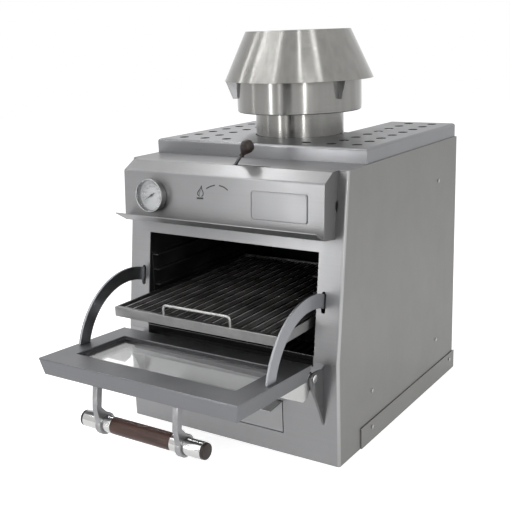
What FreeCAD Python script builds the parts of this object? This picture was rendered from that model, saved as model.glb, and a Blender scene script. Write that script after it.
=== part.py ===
import FreeCAD, Part
import math
import os
import re

import Sketcher
from FreeCAD import Placement, Rotation, Vector

DRIVING_SIZES = {
    # casing
    "body_width": 520,
    "body_depth": 596,
    "shelf_height": 576,
    "nose_height": 212,
    "lean_angle": 7.66,
    "sheet": 2,
    "frame_sheet": 3,
    "base_flange": 20,
    # front opening and the slots that the door stays run through
    "opening_rim": 2,
    "opening_sill": 10,
    "opening_top": 211,
    "stay_slot_low": 95,
    "stay_slot_high": 137.5,
    "stay_side_play": 2,
    # side rails
    "rail_start": 90,
    "rail_end": 602,
    "rail_height": 45,
    "rail_sheet": 3,
    # perforated top cover
    "cover_inset": 4,
    "cover_front": 132.5,
    "cover_back": 593,
    "cover_height": 30.5,
    "cover_bend": 6,
    "vent_radius": 10,
    "vent_pitch_across": 57.5,
    "vent_pitch_along": 54.6,
    "vent_edge": 42,
    "vent_front": 41,
    # hood over the opening
    "hood_inset": 21.5,
    "hood_bottom": 454,
    "hood_front_low": 10.7,
    "hood_front_high": 4.6,
    "hood_crease": 558.4,
    "hood_top_edge": 28,
    "hood_rear_drop": 6,
    "lip_reach": 30,
    "lip_rise": 18,
    "hood_bend": 4,
    "notch_level": 509,
    "notch_radius": 17,
    "notch_depth": 5,
    "plate_width": 125,
    "plate_height": 55,
    "plate_inset": 34.5,
    "plate_low": 28,
    "plate_thickness": 1.2,
    "plate_corner": 5,
    # flue, collar and cowl
    "flue_setback": 318,
    "flue_radius": 97,
    "flue_wall": 1.5,
    "flue_foot": 553,
    "flue_top": 745,
    "flue_play": 2,
    "collar_radius": 136.5,
    "collar_bottom": 658,
    "collar_height": 92,
    "cone_low_radius": 163,
    "cone_high_radius": 114.5,
    "cone_bottom": 725,
    "cone_height": 104,
    "bracket_bottom": 687,
    "bracket_foot": 10,
    "bracket_angle": 97,
    "weld_gap": 0.35,
    # cooking chamber
    "side_wall": 52,
    "chamber_bottom": 120,
    "chamber_top": 545,
    "outlet_width": 68,
    "outlet_length": 170,
    "ash_mouth_width": 216,
    "ash_mouth_start": 60,
    "ash_mouth_length": 240,
    "insulation_gap": 1,
    "stay_bay_depth": 144,
    "stay_bay_low": 95,
    "stay_bay_high": 372,
    "stay_bay_play": 7.5,
    # fire bed
    "tray_side_gap": 58,
    "tray_start": 40,
    "tray_length": 280,
    "tray_height": 66,
    "tray_sheet": 3,
    "grate_thickness": 8,
    "grate_slot_width": 10,
    "grate_slot_pitch": 22,
    "grate_slot_length": 102,
    "grate_web": 16,
    # ash drawer
    "drawer_opening_low": 44,
    "drawer_opening_height": 70,
    "drawer_opening_width": 266,
    "drawer_gap": 1.5,
    "drawer_depth": 330,
    "drawer_box_inset": 3,
    "drawer_sheet": 1.5,
    "drawer_lip": 45,
    "drawer_lip_droop": 5,
    "runner_flange": 18,
    "runner_inset": 6,
    "running_gap": 0.3,
    # cooking rack and its guides
    "rack_side_play": 11,
    "rack_front": -109,
    "rack_depth": 484,
    "rack_top": 294,
    "rack_height": 20,
    "rack_sheet": 3,
    "rack_flange": 9,
    "bar_pitch": 22,
    "bar_width": 15,
    "bar_height": 9,
    "bar_sheet": 1.5,
    "cross_bar_share": 0.12,
    "cross_bar_width": 6,
    "cross_bar_height": 7,
    "cross_bar_count": 3,
    "handle_loop_width": 160,
    "handle_loop_rise": 20,
    "handle_loop_radius": 3,
    "handle_loop_leg": 0.9,
    "handle_loop_shift": 8,
    "guide_ledge": 3,
    "guide_overlap": 7,
    "guide_pitch": 33,
    "guide_levels": 4,
    "guide_start": 30,
    "guide_length": 460,
    "guide_end_gap": 25,
    "guide_sheet": 2,
    # door, in the frame of its hinge axis
    "hinge_forward": 38,
    "hinge_height": 194,
    "door_tilt": 3.2,
    "door_face": 31.1,
    "door_setoff": 13,
    "door_length": 244,
    "door_beyond_stay": 9.5,
    "door_thickness": 33.6,
    "door_bevel": 7.7,
    "door_sheet": 2,
    "window_width": 374,
    "window_near": 60,
    "window_far": 200,
    "glass_thickness": 4,
    "glass_recess": 7,
    "glass_rebate": 9,
    # stays, hinge arms and fins
    "stay_wall_gap": 11,
    "stay_thickness": 5,
    "stay_outer": 160,
    "stay_inner": 132,
    "stay_end_angle": 113,
    "stay_hook_angle": 4,
    "stay_hook_reach": 12,
    "fin_beside_stay": 3.5,
    "fin_thickness": 5,
    "fin_foot": 83,
    "arm_gap": 0.5,
    "arm_thickness": 5,
    "arm_length": 107,
    "arm_drop": 40,
    "pin_radius": 5,
    "pin_play": 0.08,
    "pin_head_radius": 8.5,
    "pin_head": 4,
    # door handle
    "grip_drop": 81.2,
    "grip_along": 225.8,
    "grip_radius": 16,
    "grip_half": 144,
    "grip_cap": 6,
    "core_radius": 6,
    "wood_half": 70,
    "bracket_offset": 94,
    "bracket_width": 12,
    "ring_radius": 21,
    # thermometer, in the frame of the hood front
    "gauge_inset": 78.5,
    "gauge_up": 57,
    "gauge_radius": 35,
    "gauge_depth": 18,
    "gauge_rim": 3.5,
    "gauge_back": 2,
    "stem_radius": 4,
    "stem_length": 95,
    "stem_hole": 9,
    "spindle_radius": 1.5,
    "needle_length": 24,
    "needle_tail": 9,
    "needle_width": 3.2,
    "needle_turn": 122,
    "lens_thickness": 2,
    # damper
    "damper_travel": 73,
    "damper_width": 82,
    "damper_length": 184,
    "damper_rest": -75,
    "damper_sheet": 1.5,
    "damper_lift": 1.5,
    "lever_across": 12.5,
    "lever_setback": 38,
    "lever_lean": 38,
    "lever_radius": 3,
    "lever_slot_start": 9,
    "lever_slot_length": 89,
    "lever_slot_width": 9,
    "lever_above": 22,
    "knob_length": 40,
    "knob_radius": 14,
    "knob_neck": 6,
    # screw heads on the casing and on the rails
    "screw_radius": 4.5,
    "screw_height": 2.2,
    "screw_near": 144,
    "screw_far": 487,
    "screw_low": 108,
    "screw_high": 488,
    "rail_screw_near": 49,
    "rail_screw_far": 31,
    "rail_screw_level": 30,
}

# Sizes that follow from the ones above
DERIVED_SIZES = {
    "chamber_width": "body_width - 2 * side_wall",
    "opening_width": "chamber_width - 2 * opening_rim",
    "cover_width": "body_width - 2 * cover_inset",
    "hood_width": "body_width - 2 * hood_inset",
    "plate_left": "hood_width / 2 - plate_inset - plate_width",
    "gauge_across": "gauge_inset - hood_width / 2",
    "chamber_back": "guide_start + guide_length + guide_end_gap",
    "tray_width": "chamber_width - 2 * tray_side_gap",
    "rack_width": "chamber_width - 2 * rack_side_play",
    "bar_count": "floor((rack_width - 2 * rack_sheet - bar_width) / bar_pitch) + 1",
    "stay_offset": "chamber_width / 2 + sheet + stay_wall_gap",
    "stay_bay_width": "stay_wall_gap + stay_thickness / 2 + stay_bay_play",
    "fin_offset": "stay_offset + fin_beside_stay",
    "door_width": "2 * (stay_offset + door_beyond_stay)",
}

doc = FreeCAD.newDocument("charcoal_oven")
sheet = doc.addObject("Spreadsheet::Sheet", "Sizes")
for row, (alias, size) in enumerate(DRIVING_SIZES.items(), start=1):
    sheet.set("A%d" % row, alias)
    sheet.set("B%d" % row, str(size))
    sheet.setAlias("B%d" % row, alias)
doc.recompute()

LEAN = "lean_angle * 1 deg"
LEAN_TOP = "(shelf_height - nose_height) * tan(lean_angle * 1 deg)"
FRONT = "-body_depth / 2"
LEVER_FOOT = "(lever_across - lever_lean / 2)"
NODES = []


def bound(text):
    """Write out derived sizes, and the sheet's name before each alias of an expression."""
    def spell(match):
        word = match.group()
        if word in DERIVED_SIZES:
            return "(" + bound(DERIVED_SIZES[word]) + ")"
        return "Sizes." + word if word in DRIVING_SIZES else word
    return re.sub(r"[a-z_]+", spell, text)


def at(text):
    """Value of an expression over the sheet."""
    result = sheet.evalExpression(bound(text))
    return float(getattr(result, "Value", result))


def place(item, x="0", y=FRONT, z="0", tilt=None, axis=Vector(1, 0, 0)):
    """Bind an item's placement to the sheet, turned by tilt about the axis."""
    angle = at(tilt) if tilt else 0
    item.Placement = Placement(Vector(at(x), at(y), at(z)), Rotation(axis, angle))
    for key, text in (("x", x), ("y", y), ("z", z)):
        item.setExpression("Placement.Base." + key, bound(text))
    if tilt:
        item.setExpression("Placement.Rotation.Angle", bound(tilt))


def new_body(label, **where):
    """Empty body with its own label and placement."""
    body = doc.addObject("PartDesign::Body", label)
    body.Label = label
    place(body, **where)
    NODES.append(body)
    return body


def origin_feature(body, role):
    """Origin plane or axis of a body by its role."""
    for feature in body.Origin.OriginFeatures:
        if feature.Role == role:
            return feature
    raise ValueError(role)


def new_sketch(body, plane, lift="0"):
    """Sketch on an origin plane, lifted along the plane's normal."""
    sketch = body.newObject("Sketcher::SketchObject", body.Label + "_sketch")
    sketch.AttachmentSupport = (origin_feature(body, plane), "")
    sketch.MapMode = "FlatFace"
    sketch.AttachmentOffset = Placement(Vector(0, 0, at(lift)), Rotation())
    sketch.setExpression("AttachmentOffset.Base.z", bound(lift))
    return sketch


def drive(sketch, kind, ends, text):
    """Add a dimension whose value is an expression."""
    index = sketch.addConstraint(Sketcher.Constraint(kind, *ends, at(text)))
    sketch.setExpression("Constraints[%d]" % index, bound(text))


def pin_point(sketch, element, end, x, y):
    """Fix a point of a sketch at x, y from its origin."""
    drive(sketch, "DistanceX", (-1, 1, element, end), x)
    drive(sketch, "DistanceY", (-1, 1, element, end), y)


def outline(sketch, corners):
    """Closed outline of straight edges through the corners."""
    spots = [Vector(at(x), at(y), 0) for x, y in corners]
    count = len(spots)
    first = None
    for index in range(count):
        line = Part.LineSegment(spots[index], spots[(index + 1) % count])
        added = sketch.addGeometry(line, False)
        first = added if first is None else first
    for index in range(count):
        following = first + (index + 1) % count
        sketch.addConstraint(Sketcher.Constraint("Coincident", first + index, 2, following, 1))
        pin_point(sketch, first + index, 1, *corners[index])


def rectangle(sketch, left, right, low, high):
    """Rectangle between four expressions."""
    outline(sketch, [(left, low), (right, low), (right, high), (left, high)])


HOLE_SIDES = 10


def circle(sketch, x, y, radius):
    """Circle with a bound centre and radius."""
    shape = Part.Circle(Vector(at(x), at(y), 0), Vector(0, 0, 1), at(radius))
    added = sketch.addGeometry(shape, False)
    pin_point(sketch, added, 3, x, y)
    drive(sketch, "Radius", (added,), radius)


def round_hole(sketch, x, y, radius):
    """Small punched hole as a regular polygon, which keeps a sheet with many holes light."""
    turns = [index * 360 / HOLE_SIDES for index in range(HOLE_SIDES)]
    outline(sketch, [("%s + %s * cos(%g deg)" % (x, radius, turn), "%s + %s * sin(%g deg)" % (y, radius, turn))
                     for turn in turns])


def slot(sketch, x, y, length, width, upright=True):
    """Round-ended slot whose centre line starts at x, y and runs up or to the right."""
    radius = "(" + width + ") / 2"
    reach = at(length) - at(width)
    along = Vector(0, 1, 0) if upright else Vector(1, 0, 0)
    start = Vector(at(x), at(y), 0) + along * at(radius)
    turn = math.pi / 2 if upright else 0
    low = Part.Circle(start, Vector(0, 0, 1), at(radius))
    high = Part.Circle(start + along * reach, Vector(0, 0, 1), at(radius))
    a = sketch.addGeometry(Part.ArcOfCircle(low, turn + math.pi / 2, turn + 3 * math.pi / 2), False)
    b = sketch.addGeometry(Part.ArcOfCircle(high, turn - math.pi / 2, turn + math.pi / 2), False)
    ends = [sketch.getPoint(a, 2), sketch.getPoint(b, 1), sketch.getPoint(b, 2), sketch.getPoint(a, 1)]
    c = sketch.addGeometry(Part.LineSegment(ends[0], ends[1]), False)
    d = sketch.addGeometry(Part.LineSegment(ends[2], ends[3]), False)
    for one, one_end, two, two_end in ((a, 2, c, 1), (c, 2, b, 1), (b, 2, d, 1), (d, 2, a, 1)):
        sketch.addConstraint(Sketcher.Constraint("Tangent", one, one_end, two, two_end))
    inner = "(" + length + ") - (" + width + ")"
    low_x, low_y = (x, y + " + " + radius) if upright else (x + " + " + radius, y)
    pin_point(sketch, a, 3, low_x, low_y)
    pin_point(sketch, b, 3, *((low_x, low_y + " + " + inner) if upright else (low_x + " + " + inner, low_y)))
    drive(sketch, "Radius", (a,), radius)


def pad(body, sketch, length, midplane=False, reverse=False):
    """Pad a sketch by a bound length."""
    feature = body.newObject("PartDesign::Pad", body.Label + "_pad")
    feature.Profile = sketch
    feature.Length = at(length)
    feature.setExpression("Length", bound(length))
    feature.Midplane = midplane
    feature.Reversed = reverse
    body.Tip = feature
    doc.recompute()
    return feature


def pocket(body, sketch, length, midplane=False, reverse=False):
    """Pocket a sketch by a bound length and make sure that it cuts."""
    before = body.Shape.Volume
    feature = body.newObject("PartDesign::Pocket", body.Label + "_pocket")
    feature.Profile = sketch
    feature.Length = at(length)
    feature.setExpression("Length", bound(length))
    feature.Midplane = midplane
    feature.Reversed = reverse
    body.Tip = feature
    doc.recompute()
    if body.Shape.Volume > before - 1e-3:
        raise RuntimeError(body.Label + ": a pocket cuts nothing")
    return feature


def revolve(body, sketch):
    """Full revolution of a sketch about its vertical axis."""
    feature = body.newObject("PartDesign::Revolution", body.Label + "_revolution")
    feature.Profile = sketch
    feature.ReferenceAxis = (sketch, ["V_Axis"])
    feature.Angle = 360
    body.Tip = feature
    doc.recompute()
    return feature


def hollow(body, faces, thickness):
    """Shell a body inwards, open at the named faces."""
    base = body.Tip
    feature = body.newObject("PartDesign::Thickness", body.Label + "_shell")
    feature.Base = (base, faces)
    feature.Value = at(thickness)
    feature.setExpression("Value", bound(thickness))
    feature.Reversed = True
    body.Tip = feature
    doc.recompute()
    return feature


def fillet(body, edges, radius):
    """Round the named edges of the tip."""
    base = body.Tip
    feature = body.newObject("PartDesign::Fillet", body.Label + "_fillet")
    feature.Base = (base, edges)
    feature.Radius = at(radius)
    feature.setExpression("Radius", bound(radius))
    body.Tip = feature
    doc.recompute()
    return feature


def repeat(body, originals, axis, length, count):
    """Linear pattern of features along an origin axis."""
    feature = body.newObject("PartDesign::LinearPattern", body.Label + "_pattern")
    feature.Originals = originals
    feature.Direction = (origin_feature(body, axis), [""])
    feature.Length = at(length)
    feature.setExpression("Length", bound(length))
    feature.Occurrences = int(round(at(count)))
    feature.setExpression("Occurrences", bound(count))
    body.Tip = feature
    doc.recompute()
    return feature


def faces_where(body, test):
    """Names of the tip's faces whose centre and outward normal pass the test, in the body's own frame."""
    names = []
    for index, face in enumerate(body.Tip.Shape.Faces, start=1):
        u0, u1, v0, v1 = face.ParameterRange
        normal = face.normalAt((u0 + u1) / 2, (v0 + v1) / 2)
        if test(face.CenterOfMass, normal):
            names.append("Face%d" % index)
    return names


def edges_where(body, test):
    """Names of the tip's edges whose end points pass the test, in the body's own frame."""
    names = []
    for index, edge in enumerate(body.Tip.Shape.Edges, start=1):
        points = [vertex.Point for vertex in edge.Vertexes]
        if len(points) == 2 and test(*points):
            names.append("Edge%d" % index)
    return names


def feature(label, shape, **where):
    """Sub-part whose shape is worked out here from the sheet."""
    item = doc.addObject("Part::Feature", label)
    item.Label = label
    item.Shape = shape
    place(item, **where)
    NODES.append(item)
    return item


def ring_points(centre, across, ahead, radius, sides):
    """Corners of a regular polygon round a centre, the first repeated at the end."""
    turns = [index * 2 * math.pi / sides for index in range(sides)]
    ring = [centre + across * radius * math.cos(turn) + ahead * radius * math.sin(turn) for turn in turns]
    return ring + ring[:1]


def banded(rings):
    """Solid of flat faces through a row of rings that have the same number of corners."""
    faces = [Part.Face(Part.makePolygon(ring)) for ring in (rings[0], rings[-1])]
    for low, high in zip(rings, rings[1:]):
        for index in range(len(low) - 1):
            corners = [low[index], low[index + 1], high[index + 1], high[index], low[index]]
            faces.append(Part.Face(Part.makePolygon(corners)))
    return Part.makeSolid(Part.makeShell(faces))


# Casing
def side_panel(label, x):
    body = new_body(label, x=x)
    sketch = new_sketch(body, "YZ_Plane")
    outline(sketch, [("0", "0"), ("body_depth", "0"), ("body_depth", "shelf_height"),
                     (LEAN_TOP, "shelf_height"), ("0", "nose_height")])
    pad(body, sketch, "sheet")


def side_rail(label, x):
    body = new_body(label, x=x)
    sketch = new_sketch(body, "YZ_Plane")
    rectangle(sketch, "rail_start", "rail_end", "0", "rail_height")
    pad(body, sketch, "rail_sheet")


def front_frame():
    body = new_body("front_frame", z="nose_height", tilt="-lean_angle")
    sketch = new_sketch(body, "XZ_Plane")
    top = "(shelf_height - sheet - nose_height) / cos(" + LEAN + ")"
    rectangle(sketch, "-body_width / 2 + sheet", "body_width / 2 - sheet", "0", top)
    rectangle(sketch, "-opening_width / 2", "opening_width / 2", "opening_sill", "opening_top")
    for side in ("-", ""):
        slot(sketch, side + "stay_offset", "stay_slot_low", "stay_slot_high - stay_slot_low",
             "stay_thickness + 2 * stay_side_play")
    stem_level = "(hood_bottom + gauge_up - nose_height) / cos(" + LEAN + ") - stem_hole / 3"
    circle(sketch, "gauge_across", stem_level, "stem_hole")
    tongue_level = "(chamber_top + damper_lift - nose_height) / cos(" + LEAN + ")"
    rectangle(sketch, LEVER_FOOT + " - 4 * lever_radius", LEVER_FOOT + " + damper_travel + 4 * lever_radius",
              tongue_level + " - 2 * sheet", tongue_level + " + 3 * sheet")
    pad(body, sketch, "frame_sheet", reverse=True)


def lower_front_panel():
    body = new_body("lower_front_panel")
    sketch = new_sketch(body, "XZ_Plane")
    edge = "body_width / 2 - sheet"
    rectangle(sketch, "-(" + edge + ")", edge, "0", "nose_height - frame_sheet * sin(" + LEAN + ")")
    rectangle(sketch, "-drawer_opening_width / 2", "drawer_opening_width / 2", "drawer_opening_low",
              "drawer_opening_low + drawer_opening_height")
    pad(body, sketch, "sheet", reverse=True)


def top_shelf():
    body = new_body("top_shelf", z="shelf_height - sheet")
    sketch = new_sketch(body, "XY_Plane")
    edge = "body_width / 2 - sheet"
    rectangle(sketch, "-(" + edge + ")", edge, LEAN_TOP, "body_depth - sheet")
    circle(sketch, "0", "flue_setback", "flue_radius + running_gap")
    pad(body, sketch, "sheet")


def back_panel():
    body = new_body("back_panel", y="body_depth / 2")
    sketch = new_sketch(body, "XZ_Plane")
    edge = "body_width / 2 - sheet"
    rectangle(sketch, "-(" + edge + ")", edge, "0", "shelf_height")
    pad(body, sketch, "sheet")


def base_pan():
    body = new_body("base_pan")
    sketch = new_sketch(body, "XY_Plane")
    edge = "body_width / 2 - sheet"
    rectangle(sketch, "-(" + edge + ")", edge, "sheet", "body_depth - sheet")
    pad(body, sketch, "base_flange")
    hollow(body, faces_where(body, lambda spot, normal: normal.z > 0.9), "sheet")


side_panel("left_side_panel", "-body_width / 2")
side_panel("right_side_panel", "body_width / 2 - sheet")
side_rail("left_side_rail", "-body_width / 2 - rail_sheet")
side_rail("right_side_rail", "body_width / 2")
front_frame()
lower_front_panel()
top_shelf()
back_panel()
base_pan()


# Perforated top cover
def top_cover():
    body = new_body("top_cover", z="shelf_height")
    sketch = new_sketch(body, "XY_Plane")
    rectangle(sketch, "-cover_width / 2", "cover_width / 2", "cover_front", "cover_back")
    pad(body, sketch, "cover_height")
    top = at("cover_height")
    fillet(body, edges_where(body, lambda a, b: min(a.z, b.z) > top - 0.01), "cover_bend")
    hollow(body, faces_where(body, lambda spot, normal: spot.z < 0.01), "sheet")
    bay = new_sketch(body, "XY_Plane", "cover_height")
    radius = "flue_radius + flue_play"
    reach = "body_depth + cover_height"
    low = at("flue_setback")
    arc = Part.Circle(Vector(0, low, 0), Vector(0, 0, 1), at(radius))
    bay.addGeometry(Part.ArcOfCircle(arc, math.pi, 2 * math.pi), False)
    right, left = Vector(at(radius), low, 0), Vector(-at(radius), low, 0)
    end = Vector(0, at(reach) - low, 0)
    bay.addGeometry(Part.LineSegment(right, right + end), False)
    bay.addGeometry(Part.LineSegment(right + end, left + end), False)
    bay.addGeometry(Part.LineSegment(left + end, left), False)
    bay.addConstraint(Sketcher.Constraint("Tangent", 0, 2, 1, 1))
    bay.addConstraint(Sketcher.Constraint("Coincident", 1, 2, 2, 1))
    bay.addConstraint(Sketcher.Constraint("Coincident", 2, 2, 3, 1))
    bay.addConstraint(Sketcher.Constraint("Tangent", 3, 2, 0, 1))
    bay.addConstraint(Sketcher.Constraint("Horizontal", 2))
    pin_point(bay, 0, 3, "0", "flue_setback")
    drive(bay, "Radius", (0,), radius)
    drive(bay, "DistanceY", (-1, 1, 1, 2), reach)
    pocket(body, bay, "cover_height + sheet")
    holes = new_sketch(body, "XY_Plane", "cover_height")
    round_hole(holes, "cover_width / 2 - vent_edge", "cover_front + vent_front", "vent_radius")
    first = pocket(body, holes, "2 * sheet")
    rows = origin_feature(body, "Y_Axis")
    columns = origin_feature(body, "X_Axis")
    grid = body.newObject("PartDesign::MultiTransform", "top_cover_vents")
    grid.Originals = [first]
    along = body.newObject("PartDesign::LinearPattern", "top_cover_rows")
    along.Direction = (rows, [""])
    count = int((at("cover_back - cover_front - vent_front") - at("vent_radius")) // at("vent_pitch_along")) + 1
    along.Occurrences = count
    along.Length = at("vent_pitch_along") * (count - 1)
    along.setExpression("Length", bound("vent_pitch_along * %d" % (count - 1)))
    across = body.newObject("PartDesign::LinearPattern", "top_cover_columns")
    across.Direction = (columns, [""])
    across.Reversed = True
    across.Occurrences = 2
    across.setExpression("Length", bound("vent_pitch_across"))
    mirror = body.newObject("PartDesign::Mirrored", "top_cover_mirror")
    mirror.MirrorPlane = (origin_feature(body, "YZ_Plane"), [""])
    grid.Transformations = [along, across, mirror]
    body.Tip = grid
    doc.recompute()
    front = new_sketch(body, "XY_Plane", "cover_height")
    for side in ("-", ""):
        round_hole(front, side + "(cover_width / 2 - vent_edge - 2 * vent_pitch_across)",
                   "cover_front + vent_front", "vent_radius")
    pocket(body, front, "2 * sheet")


# Hood with its upturned lip
HOOD_LEAN = "atan((hood_front_low - hood_front_high) / (hood_crease - hood_bottom))"


def hood():
    body = new_body("hood")
    sketch = new_sketch(body, "YZ_Plane")
    rear_low = "hood_bottom - hood_rear_drop"
    outline(sketch, [("-hood_front_low", "hood_bottom"),
                     ("(" + rear_low + " - nose_height) * tan(" + LEAN + ")", rear_low),
                     (LEAN_TOP, "shelf_height"), ("hood_top_edge", "shelf_height"),
                     ("-hood_front_high", "hood_crease")])
    pad(body, sketch, "hood_width", midplane=True)
    crease, front = at("hood_crease"), -at("hood_front_high")
    fillet(body, edges_where(body, lambda a, b: abs(a.y - b.y) + abs(a.z - b.z) < 0.01
                             and (abs(a.z - crease) < 0.01 or abs(a.y - at("hood_top_edge")) < 0.01)),
           "hood_bend")
    hollow(body, faces_where(body, lambda spot, normal: normal.z < -0.7 or normal.y > 0.9), "sheet")
    lip = new_sketch(body, "YZ_Plane")
    root, tip = "-(hood_front_low - sheet / 2)", "-(hood_front_low + lip_reach)"
    outline(lip, [(root, "hood_bottom"), (tip, "hood_bottom + lip_rise"),
                  (tip, "hood_bottom + lip_rise + sheet"), (root, "hood_bottom + sheet")])
    pad(body, lip, "hood_width", midplane=True)
    notch = new_sketch(body, "YZ_Plane")
    circle(notch, "(notch_level - nose_height) * tan(" + LEAN + ") + notch_radius - notch_depth", "notch_level",
           "notch_radius")
    pocket(body, notch, "2 * hood_width", midplane=True)
    lever = new_sketch(body, "XY_Plane", "shelf_height + sheet")
    slot(lever, "lever_slot_start", "lever_setback", "lever_slot_length", "lever_slot_width", upright=False)
    pocket(body, lever, "3 * sheet")
    gauge = new_sketch(body, "XZ_Plane")
    circle(gauge, "gauge_across", "hood_bottom + gauge_up", "stem_radius + sheet")
    pocket(body, gauge, "2 * hood_front_low + 2 * sheet", midplane=True)


def nameplate():
    body = new_body("nameplate", y=FRONT + " - hood_front_low", z="hood_bottom", tilt="-" + HOOD_LEAN)
    sketch = new_sketch(body, "XZ_Plane")
    rectangle(sketch, "plate_left", "plate_left + plate_width", "plate_low", "plate_low + plate_height")
    pad(body, sketch, "plate_thickness")
    fillet(body, edges_where(body, lambda a, b: abs(a.y - b.y) > 0.5), "plate_corner")


top_cover()
hood()
nameplate()


# Flue, collar and cowl
def turned(label, corners, z="0"):
    body = new_body(label, y=FRONT + " + flue_setback", z=z)
    sketch = new_sketch(body, "XZ_Plane")
    outline(sketch, corners)
    revolve(body, sketch)
    return body


def flue_pipe():
    bore = "flue_radius - flue_wall"
    turned("flue_pipe", [(bore, "flue_foot"), ("flue_radius", "flue_foot"), ("flue_radius", "flue_top"),
                         (bore, "flue_top")])


def flue_collar():
    body = turned("flue_collar", [("flue_radius", "0"), ("collar_radius", "0"),
                                  ("collar_radius", "collar_height"),
                                  ("collar_radius - flue_wall", "collar_height"),
                                  ("collar_radius - flue_wall", "flue_wall"), ("flue_radius", "flue_wall")],
                  z="collar_bottom")
    return body


CONE_SLOPE = "((cone_low_radius - cone_high_radius) / cone_height)"
CONE_SIDES = 60


def cowl_cone():
    """Rolled sheet cone, in narrow flats."""
    low, high, height = at("cone_low_radius"), at("cone_high_radius"), at("cone_height")
    right, ahead = Vector(1, 0, 0), Vector(0, 1, 0)

    def solid(wall):
        rings = [ring_points(Vector(0, 0, rise), right, ahead, radius - wall, CONE_SIDES)
                 for rise, radius in ((0, low), (height, high))]
        return banded(rings)
    feature("cowl_cone", solid(0).cut(solid(at("flue_wall"))), y=FRONT + " + flue_setback", z="cone_bottom")


def cowl_brackets():
    body = new_body("cowl_brackets", y=FRONT + " + flue_setback", tilt="bracket_angle", axis=Vector(0, 0, 1))
    sketch = new_sketch(body, "XZ_Plane")
    top = "collar_bottom + collar_height - sheet"
    inner = "cone_low_radius - flue_wall - weld_gap"
    outline(sketch, [("collar_radius", "bracket_bottom"), ("collar_radius + bracket_foot", "bracket_bottom"),
                     (inner, "cone_bottom"),
                     (inner + " - (" + top + " - cone_bottom) * " + CONE_SLOPE, top), ("collar_radius", top)])
    blade = pad(body, sketch, "sheet", midplane=True)
    ring = body.newObject("PartDesign::PolarPattern", "cowl_brackets_ring")
    ring.Originals = [blade]
    ring.Axis = (origin_feature(body, "Z_Axis"), [""])
    ring.Angle = 360
    ring.Occurrences = 3
    body.Tip = ring
    doc.recompute()


flue_pipe()
flue_collar()
cowl_cone()
cowl_brackets()


# Cooking chamber and insulation
def chamber_liner():
    body = new_body("chamber_liner")
    sketch = new_sketch(body, "YZ_Plane")
    start = "frame_sheet / cos(" + LEAN + ")"
    top_start = start + " + (chamber_top - nose_height) * tan(" + LEAN + ")"
    back = "chamber_back + sheet"
    outline(sketch, [(start, "chamber_bottom"), (back, "chamber_bottom"), (back, "chamber_top"),
                     (top_start, "chamber_top"), (start, "nose_height")])
    pad(body, sketch, "chamber_width + 2 * sheet", midplane=True)
    hollow(body, faces_where(body, lambda spot, normal: normal.y < -0.9), "sheet")
    outlet = new_sketch(body, "XY_Plane", "chamber_top + sheet")
    rectangle(outlet, "-outlet_width / 2", "outlet_width / 2", "flue_setback - outlet_length / 2",
              "flue_setback + outlet_length / 2")
    pocket(body, outlet, "3 * sheet")
    mouth = new_sketch(body, "XY_Plane", "chamber_bottom + 2 * sheet")
    rectangle(mouth, "-ash_mouth_width / 2", "ash_mouth_width / 2", "ash_mouth_start",
              "ash_mouth_start + ash_mouth_length")
    pocket(body, mouth, "3 * sheet")


def side_insulation(label, side):
    body = new_body(label)
    sketch = new_sketch(body, "YZ_Plane", side + "(chamber_width / 2 + sheet)")
    low, high = "base_flange", "shelf_height - sheet - insulation_gap"
    start = "frame_sheet / cos(" + LEAN + ") + insulation_gap"
    back = "body_depth - sheet - insulation_gap"
    outline(sketch, [(start, low), (back, low), (back, high),
                     (start + " + (" + high + " - nose_height) * tan(" + LEAN + ")", high),
                     (start, "nose_height")])
    thick = "(body_width - chamber_width) / 2 - 2 * sheet"
    pad(body, sketch, thick, reverse=bool(side))
    bay = new_sketch(body, "YZ_Plane", side + "(chamber_width / 2 + sheet)")
    rectangle(bay, "-sheet", "stay_bay_depth", "stay_bay_low", "stay_bay_high")
    pocket(body, bay, "stay_bay_width", reverse=not side)


def back_insulation():
    body = new_body("back_insulation")
    sketch = new_sketch(body, "XY_Plane", "base_flange")
    half = "chamber_width / 2 + sheet"
    rectangle(sketch, "-(" + half + ")", half, "chamber_back + sheet", "body_depth - sheet - insulation_gap")
    pad(body, sketch, "shelf_height - sheet - insulation_gap - base_flange")


TONGUE_NEAR = "(flue_setback - damper_length / 2 - 8 * lever_radius)"


def top_insulation():
    body = new_body("top_insulation")
    sketch = new_sketch(body, "XY_Plane", "chamber_top")
    half = "chamber_width / 2 + sheet"
    front = LEAN_TOP + " + 2 * frame_sheet"
    rectangle(sketch, "-(" + half + ")", half, front, "chamber_back + sheet")
    pad(body, sketch, "shelf_height - sheet - insulation_gap - chamber_top")
    bay = new_sketch(body, "XY_Plane", "shelf_height")
    reach = "flue_radius + 6 * sheet"
    rectangle(bay, "damper_rest - damper_width / 2 - 2 * sheet", reach, TONGUE_NEAR + " - 2 * sheet",
              "flue_setback + " + reach)
    pocket(body, bay, "shelf_height")
    corridor = new_sketch(body, "XY_Plane", "shelf_height")
    rectangle(corridor, LEVER_FOOT + " - 4 * lever_radius", LEVER_FOOT + " + damper_travel + 4 * lever_radius",
              "0", "flue_setback")
    pocket(body, corridor, "shelf_height")


chamber_liner()
side_insulation("left_insulation", "-")
side_insulation("right_insulation", "")
back_insulation()
top_insulation()


# Fire bed
def fire_tray():
    body = new_body("fire_tray")
    sketch = new_sketch(body, "XY_Plane", "chamber_bottom + sheet")
    rectangle(sketch, "-tray_width / 2", "tray_width / 2", "tray_start", "tray_start + tray_length")
    rectangle(sketch, "-tray_width / 2 + tray_sheet", "tray_width / 2 - tray_sheet",
              "tray_start + tray_sheet", "tray_start + tray_length - tray_sheet")
    pad(body, sketch, "tray_height")


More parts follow.
